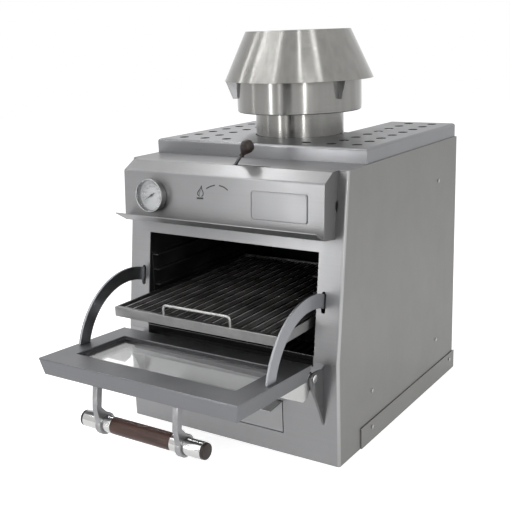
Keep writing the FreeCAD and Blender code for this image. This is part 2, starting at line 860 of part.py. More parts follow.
def charcoal_grate():
    body = new_body("charcoal_grate")
    sketch = new_sketch(body, "XY_Plane", "chamber_bottom + sheet")
    edge = "tray_width / 2 - tray_sheet - insulation_gap"
    low = "tray_start + tray_sheet + insulation_gap"
    high = "tray_start + tray_length - tray_sheet - insulation_gap"
    rectangle(sketch, "-(" + edge + ")", edge, low, high)
    pad(body, sketch, "grate_thickness")
    cut = new_sketch(body, "XY_Plane", "chamber_bottom + sheet + grate_thickness")
    middle = "tray_start + tray_length / 2"
    first = "-4 * grate_slot_pitch"
    left, right = first + " - grate_slot_width / 2", first + " + grate_slot_width / 2"
    near, far = middle + " + grate_web / 2", middle + " - grate_web / 2"
    rectangle(cut, left, right, near, near + " + grate_slot_length")
    rectangle(cut, left, right, far + " - grate_slot_length", far)
    slots = pocket(body, cut, "grate_thickness")
    repeat(body, [slots], "X_Axis", "8 * grate_slot_pitch", "9")


fire_tray()
charcoal_grate()


# Ash drawer
DRAWER_HALF = "(drawer_opening_width / 2 - drawer_gap)"
DRAWER_LOW = "(drawer_opening_low + drawer_gap)"
DRAWER_HIGH = "(drawer_opening_low + drawer_opening_height - drawer_gap)"


def ash_drawer_front():
    body = new_body("ash_drawer_front")
    sketch = new_sketch(body, "YZ_Plane")
    tip = DRAWER_HIGH + " - drawer_lip * tan(drawer_lip_droop * 1 deg)"
    outline(sketch, [("0", DRAWER_LOW), ("sheet", DRAWER_LOW), ("sheet", DRAWER_HIGH), ("0", DRAWER_HIGH),
                     ("-drawer_lip", tip), ("-drawer_lip", tip + " - sheet"), ("0", DRAWER_HIGH + " - sheet")])
    pad(body, sketch, "2 * " + DRAWER_HALF, midplane=True)


def ash_drawer_box():
    body = new_body("ash_drawer_box")
    sketch = new_sketch(body, "XY_Plane", DRAWER_LOW + " + drawer_box_inset")
    half = DRAWER_HALF + " - drawer_box_inset"
    rectangle(sketch, "-(" + half + ")", half, "sheet", "drawer_depth")
    pad(body, sketch, DRAWER_HIGH + " - " + DRAWER_LOW + " - 2 * drawer_box_inset")
    hollow(body, faces_where(body, lambda spot, normal: normal.z > 0.9), "drawer_sheet")


def ash_drawer_runners():
    body = new_body("ash_drawer_runners")
    sketch = new_sketch(body, "XZ_Plane")
    outer = "(" + DRAWER_HALF + " - drawer_box_inset - runner_inset)"
    top = DRAWER_LOW + " + drawer_box_inset - running_gap"
    for side in ("-", ""):
        inner = side + "(" + outer + " - runner_flange)"
        wall = side + "(" + outer + " - sheet)"
        outline(sketch, [(side + outer, "sheet"), (side + outer, top), (inner, top),
                         (inner, top + " - sheet"), (wall, top + " - sheet"), (wall, "sheet")])
    pad(body, sketch, "drawer_depth", reverse=True)
    clear = new_sketch(body, "XZ_Plane")
    half = DRAWER_HALF
    rectangle(clear, "-" + half, half, "0", "shelf_height / 2")
    pocket(body, clear, "3 * sheet")


ash_drawer_front()
ash_drawer_box()
ash_drawer_runners()


# Rack guides and cooking rack
def rack_guide(label, side):
    body = new_body(label, y=FRONT + " + guide_start", z="rack_top - rack_height - running_gap")
    wall = "chamber_width / 2"
    top = "(guide_levels - 1) * guide_pitch"
    plate = new_sketch(body, "XZ_Plane")
    rectangle(plate, side + "(" + wall + " - guide_sheet)", side + "(" + wall + ")", "-3 * guide_ledge",
              top + " + guide_ledge")
    pad(body, plate, "guide_length", reverse=True)
    ledge = new_sketch(body, "XZ_Plane")
    rectangle(ledge, side + "(rack_width / 2 - guide_overlap)", side + "(" + wall + " - guide_sheet / 2)",
              "-guide_ledge", "0")
    shelf = pad(body, ledge, "guide_length", reverse=True)
    repeat(body, [shelf], "Z_Axis", top, "guide_levels")


rack_guide("left_rack_guide", "-")
rack_guide("right_rack_guide", "")


def rack_frame():
    body = new_body("rack_frame", y=FRONT + " + rack_front", z="rack_top - rack_height")
    sketch = new_sketch(body, "XY_Plane")
    rectangle(sketch, "-rack_width / 2", "rack_width / 2", "0", "rack_depth")
    pad(body, sketch, "rack_height")
    inside = new_sketch(body, "XY_Plane", "rack_height")
    rectangle(inside, "-rack_width / 2 + rack_sheet", "rack_width / 2 - rack_sheet", "rack_sheet",
              "rack_depth - rack_sheet")
    pocket(body, inside, "rack_height")
    ledge = new_sketch(body, "YZ_Plane")
    rectangle(ledge, "rack_sheet / 2", "rack_flange", "rack_height - rack_sheet / 2", "rack_height")
    pad(body, ledge, "rack_width - rack_sheet", midplane=True)


BAR_LEVEL = "rack_top - rack_sheet - bar_height"


def rack_bars():
    body = new_body("rack_bars", y=FRONT + " + rack_front", z=BAR_LEVEL)
    sketch = new_sketch(body, "XZ_Plane", "-rack_sheet")
    half = "bar_width / 2"
    wall = "bar_sheet * sqrt(1 + (bar_width / 2 / bar_height) ^ 2)"
    rise = "bar_sheet * sqrt(1 + (bar_height / (bar_width / 2)) ^ 2)"
    start = "-(bar_count - 1) / 2 * bar_pitch"
    outline(sketch, [(start, "0"), (start + " + " + half, "bar_height"),
                     (start + " + " + half + " - " + rise + " * bar_width / 2 / bar_height / 1.35", "bar_height"),
                     (start, wall + " * 0.9"),
                     (start + " - " + half + " + " + rise + " * bar_width / 2 / bar_height / 1.35", "bar_height"),
                     (start + " - " + half, "bar_height")])
    bar = pad(body, sketch, "rack_depth - 2 * rack_sheet", reverse=True)
    repeat(body, [bar], "X_Axis", "(bar_count - 1) * bar_pitch", "bar_count")


def rack_cross_bars():
    body = new_body("rack_cross_bars", y=FRONT + " + rack_front + rack_depth * cross_bar_share", z=BAR_LEVEL)
    sketch = new_sketch(body, "YZ_Plane")
    rectangle(sketch, "0", "cross_bar_width", "-cross_bar_height", "0")
    bar = pad(body, sketch, "rack_width - 2 * rack_sheet", midplane=True)
    repeat(body, [bar], "Y_Axis", "rack_depth * (1 - 2 * cross_bar_share) - cross_bar_width", "cross_bar_count")


def rack_handle():
    half, radius = at("handle_loop_width / 2"), at("handle_loop_radius")
    rise = at("handle_loop_rise")
    leg = radius * at("handle_loop_leg")
    rail = Part.makeCylinder(radius, 2 * (half + radius), Vector(-half - radius, 0, rise), Vector(1, 0, 0))
    legs = [Part.makeCylinder(leg, rise, Vector(side * half, 0, 0)) for side in (-1, 1)]
    feature("rack_handle", rail.multiFuse(legs), x="handle_loop_shift",
            y=FRONT + " + rack_front + rack_flange / 2", z="rack_top")


rack_frame()
rack_bars()
rack_cross_bars()
rack_handle()


# Door, in a frame whose origin is the hinge axis and whose -Y runs along the door
AXIS = {"y": FRONT + " - hinge_forward", "z": "hinge_height", "tilt": "-door_tilt"}
DOOR_NEAR = "-door_setoff"
DOOR_FAR = "-(door_setoff + door_length)"
SHELL_TOP = "(door_face - door_sheet)"


def door_outer_shell():
    body = new_body("door_outer_shell", **AXIS)
    sketch = new_sketch(body, "XY_Plane", SHELL_TOP)
    rectangle(sketch, "-door_width / 2", "door_width / 2", DOOR_FAR, DOOR_NEAR)
    tray = pad(body, sketch, "door_thickness - door_sheet", reverse=True)
    tray.TaperAngle = -math.degrees(math.atan(at("door_bevel") / at("door_thickness")))
    tray.setExpression("TaperAngle", bound("-atan(door_bevel / door_thickness)"))
    doc.recompute()
    hollow(body, faces_where(body, lambda spot, normal: normal.z > 0.9), "door_sheet")
    window = new_sketch(body, "XY_Plane", "door_face")
    rectangle(window, "-window_width / 2", "window_width / 2", "-window_far", "-window_near")
    pocket(body, window, "2 * door_thickness")


def door_inner_panel():
    body = new_body("door_inner_panel", **AXIS)
    sketch = new_sketch(body, "XY_Plane", SHELL_TOP)
    rectangle(sketch, "-door_width / 2", "door_width / 2", DOOR_FAR, DOOR_NEAR)
    rectangle(sketch, "-window_width / 2", "window_width / 2", "-window_far", "-window_near")
    pad(body, sketch, "door_sheet")


def window_ring(label, low, height, outer, inner):
    body = new_body(label, **AXIS)
    sketch = new_sketch(body, "XY_Plane", low)
    rectangle(sketch, "-window_width / 2 - " + outer, "window_width / 2 + " + outer,
              "-window_far - " + outer, "-window_near + " + outer)
    if inner is not None:
        rectangle(sketch, "-window_width / 2 - " + inner, "window_width / 2 + " + inner,
                  "-window_far - " + inner, "-window_near + " + inner)
    pad(body, sketch, height)


GLASS_TOP = "(door_face - door_sheet - glass_recess)"
SHELL_FLOOR = "(door_face - door_thickness + door_sheet)"
window_ring("door_gasket", GLASS_TOP, "glass_recess", "glass_rebate", "0")
window_ring("door_glass", GLASS_TOP + " - glass_thickness", "glass_thickness", "glass_rebate", None)
window_ring("door_glass_frame", SHELL_FLOOR, GLASS_TOP + " - glass_thickness - " + SHELL_FLOOR,
            "glass_rebate", "(glass_rebate - door_sheet)")
door_outer_shell()
door_inner_panel()


def sector(inner, outer, start_height, end_degrees):
    """Flat ring sector in the YZ plane from the door face round to an angle above -Y."""
    a0 = math.asin(start_height / outer)
    b0 = math.asin(start_height / inner)
    a1 = math.radians(end_degrees)

    def spot(radius, angle):
        return Vector(0, -radius * math.cos(angle), radius * math.sin(angle))
    edges = [Part.Arc(spot(outer, a0), spot(outer, (a0 + a1) / 2), spot(outer, a1)),
             Part.LineSegment(spot(outer, a1), spot(inner, a1)),
             Part.Arc(spot(inner, a1), spot(inner, (b0 + a1) / 2), spot(inner, b0)),
             Part.LineSegment(spot(inner, b0), spot(outer, a0))]
    return Part.Face(Part.Wire([edge.toShape() for edge in edges]))


def door_stay(label, side):
    inner, outer = at("stay_inner"), at("stay_outer")
    thick = at("stay_thickness")
    end = at("stay_end_angle - door_tilt")
    hook = end + at("stay_hook_angle")
    band = sector(inner, outer, at("door_face"), hook).extrude(Vector(thick, 0, 0))
    reach = outer + at("stay_hook_reach")
    corners = []
    for radius, angle in ((outer - thick, end), (reach, end), (reach, hook), (outer - thick, hook)):
        turn = math.radians(angle)
        corners.append(Vector(0, -radius * math.cos(turn), radius * math.sin(turn)))
    lug = Part.Face(Part.makePolygon(corners + corners[:1])).extrude(Vector(thick, 0, 0))
    shape = band.fuse(lug).removeSplitter()
    feature(label, shape, x=side + "stay_offset - stay_thickness / 2", **AXIS)


door_stay("left_door_stay", "-")
door_stay("right_door_stay", "")


# Hinges
def hinge_arm(label, side):
    outer = side + "fin_offset"
    shift = " - fin_thickness / 2 - arm_gap - arm_thickness" if not side else " + fin_thickness / 2 + arm_gap"
    body = new_body(label, x=outer + shift, **AXIS)
    sketch = new_sketch(body, "YZ_Plane")
    face = "(door_face - door_thickness)"
    boss = "(2 * pin_radius)"
    outline(sketch, [("-arm_length", face), ("-door_setoff - door_bevel + arm_gap * 4", face),
                     ("-" + boss + " / 2", boss),
                     (boss + " / 2", boss), (boss, "0"), (boss + " / 2", "-" + boss),
                     ("-door_setoff", "-arm_drop * 0.9"),
                     ("-arm_length * 0.28", "-arm_drop"), ("-arm_length", face + " - arm_thickness / 2")])
    circle(sketch, "0", "0", "pin_radius + pin_play")
    pad(body, sketch, "arm_thickness")


def hinge_fin(label, side):
    shift = side + "fin_offset - fin_thickness / 2"
    body = new_body(label, x=shift)
    sketch = new_sketch(body, "YZ_Plane")
    ahead = "-hinge_forward"
    outline(sketch, [("0", "fin_foot"), ("0", "hinge_height + 0.8 * pin_radius"),
                     (ahead + " / 4", "hinge_height + 1.4 * pin_radius"),
                     (ahead, "hinge_height + 2 * pin_radius"),
                     (ahead + " - 2 * pin_radius", "hinge_height + pin_radius"),
                     (ahead + " - 2 * pin_radius", "hinge_height - pin_radius"),
                     (ahead + " - pin_radius", "hinge_height - 5 * pin_radius"),
                     (ahead + " * 0.8", "hinge_height - 9 * pin_radius"),
                     (ahead + " * 0.35", "hinge_height - 16 * pin_radius")])
    circle(sketch, ahead, "hinge_height", "pin_radius")
    pad(body, sketch, "fin_thickness")


def hexagon(spot, radius, height):
    """Hexagon prism that grows along X by height, which may be negative."""
    ring = ring_points(spot, Vector(0, 1, 0), Vector(0, 0, 1), radius, 6)
    return Part.Face(Part.makePolygon(ring)).extrude(Vector(height, 0, 0))


def bolt(radius, head_radius, head, grip, spot):
    """Headed bolt along +X that starts with its head at spot."""
    shank = Part.makeCylinder(radius, grip + 2 * head, spot, Vector(1, 0, 0))
    nut = hexagon(spot + Vector(grip + head, 0, 0), head_radius, head)
    return hexagon(spot, head_radius, head).multiFuse([shank, nut])


def hinge_pins():
    grip = at("fin_thickness + arm_thickness + arm_gap")
    head = at("pin_head")
    reach = at("fin_offset + fin_thickness / 2")
    spot = Vector(0, -at("hinge_forward"), at("hinge_height"))
    shapes = []
    for left in (reach - grip - head - 0.2, -reach - head):
        shape = bolt(at("pin_radius"), at("pin_head_radius"), head, grip + (0.2 if left > 0 else 0.2),
                     spot + Vector(left, 0, 0))
        shapes.append(shape)
    feature("hinge_pins", Part.makeCompound(shapes))


hinge_arm("left_hinge_arm", "-")
hinge_arm("right_hinge_arm", "")
hinge_fin("left_hinge_fin", "-")
hinge_fin("right_hinge_fin", "")
hinge_pins()


# Door handle
def handle_bracket(label, side):
    body = new_body(label, x=side + "bracket_offset", **AXIS)
    sketch = new_sketch(body, "YZ_Plane")
    face = "(door_face - door_thickness)"
    far = "-(door_setoff + door_length - door_bevel)"
    outline(sketch, [(far, face), (far + " + 14", face), (far + " + 12", face + " - 20"),
                     (far + " + 10", face + " - 42"), ("-grip_along + 4", "-grip_drop + ring_radius - 2"),
                     ("-grip_along - ring_radius + 2", "-grip_drop + 4"),
                     ("-grip_along - ring_radius + 1", "-grip_drop + 8"),
                     (far + " - 3", face + " - 44"), (far + " - 2", face + " - 22")])
    pad(body, sketch, "bracket_width", midplane=True)
    ring = new_sketch(body, "YZ_Plane")
    circle(ring, "-grip_along", "-grip_drop", "ring_radius")
    pad(body, ring, "bracket_width", midplane=True)
    bore = new_sketch(body, "YZ_Plane")
    circle(bore, "-grip_along", "-grip_drop", "grip_radius")
    pocket(body, bore, "2 * bracket_width", midplane=True)


def handle_part(label, spans, outer, inner):
    shapes = []
    for start, end in spans:
        spot = Vector(at(start), -at("grip_along"), -at("grip_drop"))
        shape = Part.makeCylinder(at(outer), at(end) - at(start), spot, Vector(1, 0, 0))
        if inner:
            shape = shape.cut(Part.makeCylinder(at(inner), at(end) - at(start), spot, Vector(1, 0, 0)))
        shapes.append(shape)
    feature(label, shapes[0] if len(shapes) == 1 else Part.makeCompound(shapes), **AXIS)


handle_bracket("left_handle_bracket", "-")
handle_bracket("right_handle_bracket", "")
handle_part("handle_core", [("-grip_half + grip_cap", "grip_half - grip_cap")], "core_radius", None)
handle_part("handle_grip", [("-wood_half", "wood_half")], "grip_radius", "core_radius")
handle_part("handle_sleeves", [("-grip_half + grip_cap", "-wood_half"), ("wood_half", "grip_half - grip_cap")],
            "grip_radius", "core_radius")
handle_part("handle_end_caps", [("-grip_half", "-grip_half + grip_cap"), ("grip_half - grip_cap", "grip_half")],
            "grip_radius", None)

# Thermometer, in a frame on the hood front whose -Y points out of the face
GAUGE = {"x": "gauge_across",
         "y": FRONT + " - hood_front_low + gauge_up * sin(" + HOOD_LEAN + ")",
         "z": "hood_bottom + gauge_up * cos(" + HOOD_LEAN + ")", "tilt": "-" + HOOD_LEAN}


def gauge_turned(label, corners):
    body = new_body(label, **GAUGE)
    sketch = new_sketch(body, "XY_Plane")
    outline(sketch, corners)
    revolve(body, sketch)


gauge_turned("gauge_case", [("spindle_radius + 0.1", "0"), ("gauge_radius", "0"), ("gauge_radius", "-gauge_depth"),
                            ("gauge_radius - gauge_rim", "-gauge_depth"),
                            ("gauge_radius - gauge_rim", "-gauge_back - 2"),
                            ("spindle_radius + 0.1", "-gauge_back - 2")])
gauge_turned("gauge_dial", [("spindle_radius + 0.1", "-gauge_back - 2"),
                            ("gauge_radius - gauge_rim", "-gauge_back - 2"),
                            ("gauge_radius - gauge_rim", "-gauge_back - 3"),
                            ("spindle_radius + 0.1", "-gauge_back - 3")])
gauge_turned("gauge_lens", [("0", "-gauge_depth + 1"), ("gauge_radius - gauge_rim", "-gauge_depth + 1"),
                            ("gauge_radius - gauge_rim", "-gauge_depth + 1 + lens_thickness"),
                            ("0", "-gauge_depth + 1 + lens_thickness")])
gauge_turned("gauge_stem", [("0", "0"), ("stem_radius", "0"), ("stem_radius", "stem_length"), ("0", "stem_length")])


def needle_shape():
    long, tail, half = at("needle_length"), at("needle_tail"), at("needle_width / 2")
    turn = math.radians(at("needle_turn"))
    front = -at("gauge_back + 6")
    along = Vector(-math.sin(turn), 0, math.cos(turn))
    across = Vector(math.cos(turn), 0, math.sin(turn))
    corners = [along * long, across * half, along * -tail + across * half, along * -tail - across * half,
               across * -half]
    face = Part.Face(Part.makePolygon(corners + corners[:1]))
    blade = face.extrude(Vector(0, 0.8, 0))
    blade.translate(Vector(0, front, 0))
    spindle = Part.makeCylinder(at("spindle_radius"), at("gauge_back + 5.7"), Vector(0, front, 0), Vector(0, 1, 0))
    return blade.fuse(spindle)


feature("gauge_needle", needle_shape(), **GAUGE)


# Damper slide with its lever
def damper_plate():
    body = new_body("damper_plate", y=FRONT + " + flue_setback", z="chamber_top + damper_lift")
    sketch = new_sketch(body, "XY_Plane")
    left, right = "damper_rest - damper_width / 2", "damper_rest + damper_width / 2"
    near, far = "-damper_length / 2", "damper_length / 2"
    band = "4 * lever_radius"
    elbow = near + " - 1.5 * " + band
    tongue_left, tongue_right = LEVER_FOOT + " - 2 * lever_radius", LEVER_FOOT + " + 2 * lever_radius"
    tip = "lever_setback - flue_setback - 2 * lever_radius"
    outline(sketch, [(left, near), (right + " - " + band, near), (right + " - " + band, elbow),
                     (tongue_left, elbow), (tongue_left, tip), (tongue_right, tip),
                     (tongue_right, elbow + " + " + band), (right, elbow + " + " + band), (right, far),
                     (left, far)])
    pad(body, sketch, "damper_sheet")


def damper_guides():
    body = new_body("damper_guides", y=FRONT + " + flue_setback", z="chamber_top")
    sketch = new_sketch(body, "YZ_Plane", "damper_rest - damper_width / 2")
    ledge = "(damper_length / 2 - 2 * sheet)"
    wall = "(damper_length / 2 + running_gap)"
    cover = "damper_lift + damper_sheet + running_gap"
    rim = cover + " + sheet / 2"
    outline(sketch, [(ledge, "0"), (wall + " + sheet", "0"), (wall + " + sheet", rim), (ledge, rim),
                     (ledge, cover), (wall, cover), (wall, "damper_lift - running_gap"),
                     (ledge, "damper_lift - running_gap")])
    rectangle(sketch, "-" + wall, "-" + ledge, "0", "damper_lift - running_gap")
    pad(body, sketch, "damper_width + damper_travel")


def damper_lever():
    radius, lean = at("lever_radius"), math.radians(at("lever_lean"))
    foot = Vector(at(LEVER_FOOT), at("lever_setback"),
                  at("chamber_top + damper_lift + damper_sheet"))
    along = Vector(math.sin(lean), 0, math.cos(lean))
    rise = at("shelf_height") - foot.z
    reach = rise / math.cos(lean) + at("lever_above")
    rod = Part.makeCylinder(radius, reach + radius, foot - along * radius, along)
    base = Part.makeBox(8 * radius, 8 * radius, 4 * radius, Vector(foot.x - 4 * radius, foot.y - 4 * radius,
                                                                  foot.z - 4 * radius))
    feature("damper_lever", rod.cut(base))
    return foot + along * reach, along


KNOB_SIDES = 16


def damper_knob(start, along):
    length, radius, neck = at("knob_length"), at("knob_radius"), at("knob_neck")
    across = Vector(along.z, 0, -along.x)
    ahead = Vector(0, 1, 0)
    profile = ((0, neck), (0.4, radius * 0.86), (0.66, radius), (0.88, radius * 0.78), (1, radius * 0.36))
    rings = [ring_points(start + along * length * rise, across, ahead, width, KNOB_SIDES)
             for rise, width in profile]
    shape = banded(rings)
    feature("damper_knob", shape)


damper_plate()
damper_guides()
damper_knob(*damper_lever())


# Screw heads on the casing
def casing_screws():
    radius, height = at("screw_radius"), at("screw_height")
    wall, rail = at("body_width / 2"), at("body_width / 2 + rail_sheet")
    near, far, low, high = at("screw_near"), at("screw_far"), at("screw_low"), at("screw_high")
    level = at("rail_screw_level")
    spots = [(wall, far, high), (wall, far, low), (wall, near, low),
             (rail, at("rail_start + rail_screw_near"), level), (rail, at("rail_end - rail_screw_far"), level)]
    shapes = [hexagon(Vector(side * out, y, z), radius, side * height) for out, y, z in spots for side in (-1, 1)]
    feature("casing_screws", Part.makeCompound(shapes))


casing_screws()


# Export
failed = [item.Label for item in doc.Objects if "Invalid" in item.State or "Error" in item.State]
bad = [item.Label for item in NODES if item.Shape.isNull() or not item.Shape.isValid()]
if failed or bad:
    raise RuntimeError("failed: %s, bad shapes: %s" % (failed, bad))
os.makedirs("parts", exist_ok=True)
for item in NODES:
    item.Shape.exportStep("parts/" + item.Label + ".step")
print(len(NODES), "nodes")
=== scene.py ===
"""Charcoal oven, dressed: finishes, bent and rounded sheets, turned pieces, rack, dial, signs and studio."""
from __future__ import annotations

import logging
import math
from dataclasses import dataclass, field
from enum import Enum
from typing import Callable, Optional, Sequence, Union

import bmesh
import bpy
from mathutils import Matrix, Vector


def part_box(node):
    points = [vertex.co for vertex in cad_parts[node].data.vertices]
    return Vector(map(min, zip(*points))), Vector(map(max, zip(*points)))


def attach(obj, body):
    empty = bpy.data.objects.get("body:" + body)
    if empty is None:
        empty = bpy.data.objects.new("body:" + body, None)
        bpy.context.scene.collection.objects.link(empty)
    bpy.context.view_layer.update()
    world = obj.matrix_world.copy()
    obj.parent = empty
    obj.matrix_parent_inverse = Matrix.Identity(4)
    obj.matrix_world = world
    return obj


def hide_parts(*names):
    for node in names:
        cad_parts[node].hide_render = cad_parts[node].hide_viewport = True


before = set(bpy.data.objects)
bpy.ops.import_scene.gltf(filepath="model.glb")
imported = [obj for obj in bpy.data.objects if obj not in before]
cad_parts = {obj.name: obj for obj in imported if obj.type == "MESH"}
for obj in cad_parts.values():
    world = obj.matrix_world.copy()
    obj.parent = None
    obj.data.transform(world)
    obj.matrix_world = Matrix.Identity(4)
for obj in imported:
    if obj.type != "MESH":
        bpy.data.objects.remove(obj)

LOG = logging.getLogger("charcoal_oven")
MM = 0.001

# The casing's front plane below its nose, in Y.
FRONT = -0.298

# The part of a noise's range that it mostly keeps to, and the pitch below which a grain runs along an axis.
NOISE_SPAN = (0.3, 0.7)
LONG_PITCH = 10.0

# Edges past this angle in degrees are rounded, in this many steps.
CREASE = 30.0
ROUNDING_STEPS = 3

# Faces above this area, and wider than this for their outline, are shaded flat.
BROAD_AREA = 4e-4
BROAD_WIDTH = 3.0 * MM

UPWARDS = Vector((0.0, 0.0, 1.0))
RIGHTWARDS = Vector((1.0, 0.0, 0.0))
WHITE = (1.0, 1.0, 1.0, 1.0)
# Black painted inside a box on a sheet, for soot and painted shade.
SOOT_AND_SHADE_BLACK = (0.008, 0.008, 0.008)

Colour = tuple[float, float, float]
Socket = bpy.types.NodeSocket
Feed = Union[Socket, float, int, Sequence[float]]


class Body(Enum):
    """Bodies that pieces ride on."""

    OVEN = "oven"
    DOOR = "door"
    RACK = "rack"
    DRAWER = "ash_drawer"
    DAMPER = "damper"
    NEEDLE = "needle"


class Grain(Enum):
    """Way that the brush went over a sheet, as the pattern's pitch per metre in X, Y and Z."""

    ACROSS = (3.0, 520.0, 520.0)
    UPRIGHT = (520.0, 520.0, 3.0)
    EVEN = (260.0, 260.0, 260.0)

    @property
    def axis(self) -> tuple[float, ...]:
        """Direction of the brush lines, a little off the axis so that no face stands square to it."""
        return tuple(1.0 if pitch < LONG_PITCH else 0.03 for pitch in self.value)


# ---------------------------------------------------------------- nodes


class Tree:
    """Node tree whose nodes are added with what goes into them."""

    def __init__(self, tree: bpy.types.NodeTree) -> None:
        """Take a node tree up.

        Args:
            tree: the node tree.
        """
        self.nodes = tree.nodes
        self.links = tree.links

    def feed(self, into: Socket, value: Feed) -> None:
        """Link a socket, or set a plain value.

        Args:
            into: input socket.
            value: output socket, number or vector.
        """
        if isinstance(value, bpy.types.NodeSocket):
            self.links.new(value, into)
        else:
            into.default_value = value

    def add(self, kind: str, feeds: Optional[dict[Union[str, int], Feed]] = None,
            **settings: object) -> bpy.types.Node:
        """Add a node.

        Args:
            kind: the node's type.
            feeds: what goes into its inputs, by name or number.
            settings: its own properties.

        Returns:
            The node.
        """
        node = self.nodes.new(kind)
        for key, value in settings.items():
            setattr(node, key, value)
        for key, value in (feeds or {}).items():
            self.feed(node.inputs[key], value)
        return node

    def sums(self, operation: str, first: Feed, second: Feed = 0.0) -> Socket:
        """One sum of two numbers.

        Args:
            operation: name of the Math node's operation.
            first: first number.
            second: second number, where the operation has one.

        Returns:
            The result's socket.
        """
        return self.add("ShaderNodeMath", {0: first, 1: second}, operation=operation).outputs[0]


class Bench(Tree):
    """Node bench on which one procedural material is put together."""

    SOFT_EDGE = 2.0 * MM
    FLAT_DOT = 0.995
    CREASED_DOT = 0.85

    def __init__(self, name: str) -> None:
        """Start a material with an empty Principled shader.

        Args:
            name: name of the material.
        """
        self.material = bpy.data.materials.new(name)
        self.material.use_nodes = True
        super().__init__(self.material.node_tree)
        self.nodes.clear()
        self.shader = self.add("ShaderNodeBsdfPrincipled")
        self.add("ShaderNodeOutputMaterial", {"Surface": self.shader.outputs["BSDF"]})

    def set(self, **values: Feed) -> None:
        """Set the shader's inputs by name, with underscores for spaces.

        Args:
            values: value of each input.
        """
        for key, value in values.items():
            self.feed(self.shader.inputs[key.replace("_", " ")], value)

    def place(self, stretch: Sequence[float] = (1.0, 1.0, 1.0), turn: Sequence[float] = (0.0, 0.0, 0.0),
              shift: Sequence[float] = (0.0, 0.0, 0.0)) -> Socket:
        """Object coordinates, turned and stretched.

        Args:
            stretch: pattern repeats per metre on each axis.
            turn: turn in radians.
            shift: shift in metres.

        Returns:
            The vector's socket.
        """
        spot = self.add("ShaderNodeTexCoord").outputs["Object"]
        return self.add("ShaderNodeMapping", {"Vector": spot, "Location": shift, "Rotation": turn,
                                              "Scale": stretch}).outputs["Vector"]

    def noise(self, vector: Socket, scale: float, detail: float, rough: float = 0.5,
              warp: float = 0.0) -> Socket:
        """Noise from 0 to 1.

        Args:
            vector: where it is read.
            scale: pitch of the pattern.
            detail: number of finer layers.
            rough: weight of the finer layers.
            warp: distortion.

        Returns:
            The factor's socket.
        """
        return self.add("ShaderNodeTexNoise", {"Vector": vector, "Scale": scale, "Detail": detail,
                                               "Roughness": rough, "Distortion": warp}).outputs["Fac"]

    def bands(self, vector: Socket, scale: float, warp: float) -> Socket:
        """Sine bands along the X axis.

        Args:
            vector: where they are read.
            scale: pitch of the pattern.
            warp: distortion.

        Returns:
            The factor's socket.
        """
        return self.add("ShaderNodeTexWave", {"Vector": vector, "Scale": scale, "Distortion": warp},
                        wave_type="BANDS").outputs["Fac"]

    def levels(self, value: Feed, low: float, high: float, to_low: float = 0.0, to_high: float = 1.0) -> Socket:
        """Map one range onto another, clamped.

        Args:
            value: what is mapped.
            low: start of its range.
            high: end of its range.
            to_low: result at the start.
            to_high: result at the end.

        Returns:
            The result's socket.
        """
        return self.add("ShaderNodeMapRange", {"Value": value, "From Min": low, "From Max": high,
                                               "To Min": to_low, "To Max": to_high}).outputs["Result"]

    def mixed(self, first: Socket, share: float, second: Socket) -> Socket:
        """Two patterns in one.

        Args:
            first: first pattern.
            share: its share.
            second: second pattern, which has the rest.

        Returns:
            The result's socket.
        """
        return self.sums("ADD", self.sums("MULTIPLY", first, share), self.sums("MULTIPLY", second, 1 - share))

    def tint(self, part: Feed, dark: Feed, light: Feed) -> Socket:
        """Blend of two colours.

        Args:
            part: 0 for the first and 1 for the second.
            dark: first colour.
            light: second colour.

        Returns:
            The colour's socket, which is the Mix node's third. Its colours are inputs 6 and 7.
        """
        first, second = (colour if isinstance(colour, bpy.types.NodeSocket) else (*colour, 1.0)
                         for colour in (dark, light))
        return self.add("ShaderNodeMix", {0: part, 6: first, 7: second}, data_type="RGBA").outputs[2]

    def mottled(self, part: Feed, colour: Colour, dark: float, light: float) -> Socket:
        """Blend of a colour's darker and lighter shades.

        Args:
            part: 0 for the darker and 1 for the lighter.
            colour: the colour.
            dark: factor of the darker shade.
            light: factor of the lighter shade.

        Returns:
            The colour's socket.
        """
        return self.tint(part, shaded(colour, dark), shaded(colour, light))

    def relief(self, height: Socket, distance: float, strength: float,
               below: Optional[Socket] = None) -> Socket:
        """Bump from a height.

        Args:
            height: height from 0 to 1.
            distance: depth of the full range in metres.
            strength: share of it that shows.
            below: normal of a coarser relief.

        Returns:
            The normal's socket.
        """
        node = self.add("ShaderNodeBump", {"Height": height, "Distance": distance, "Strength": strength})
        if below is not None:
            self.feed(node.inputs["Normal"], below)
        return node.outputs["Normal"]

    def across(self, axis: Sequence[float]) -> Socket:
        """Direction on the surface across brush lines, along which a highlight is drawn out.

        Args:
            axis: direction of the lines.

        Returns:
            The direction's socket.
        """
        plain = self.add("ShaderNodeNewGeometry").outputs["Normal"]
        return self.add("ShaderNodeVectorMath", {0: plain, 1: axis}, operation="CROSS_PRODUCT").outputs["Vector"]

    def within(self, low: Sequence[float], high: Sequence[float]) -> Socket:
        """Mask of a box, soft at its faces.

        Args:
            low: lowest corner in metres.
            high: highest corner.

        Returns:
            The mask's socket.
        """
        parts = self.add("ShaderNodeSeparateXYZ", {0: self.place()})
        mask: Feed = 1.0
        for spot, start, end in zip(parts.outputs, low, high):
            for edge, past in ((start, self.SOFT_EDGE), (end, -self.SOFT_EDGE)):
                mask = self.sums("MULTIPLY", mask, self.levels(spot, edge, edge + past))
        return mask

    def edges(self, radius: float) -> Socket:
        """Mask of the convex and concave edges, 1 on an edge.

        Args:
            radius: width of the worn strip in metres.

        Returns:
            The mask's socket.
        """
        soft = self.add("ShaderNodeBevel", {"Radius": radius}, samples=4).outputs["Normal"]
        plain = self.add("ShaderNodeNewGeometry").outputs["Normal"]
        dot = self.add("ShaderNodeVectorMath", {0: soft, 1: plain}, operation="DOT_PRODUCT")
        return self.levels(dot.outputs["Value"], self.FLAT_DOT, self.CREASED_DOT)


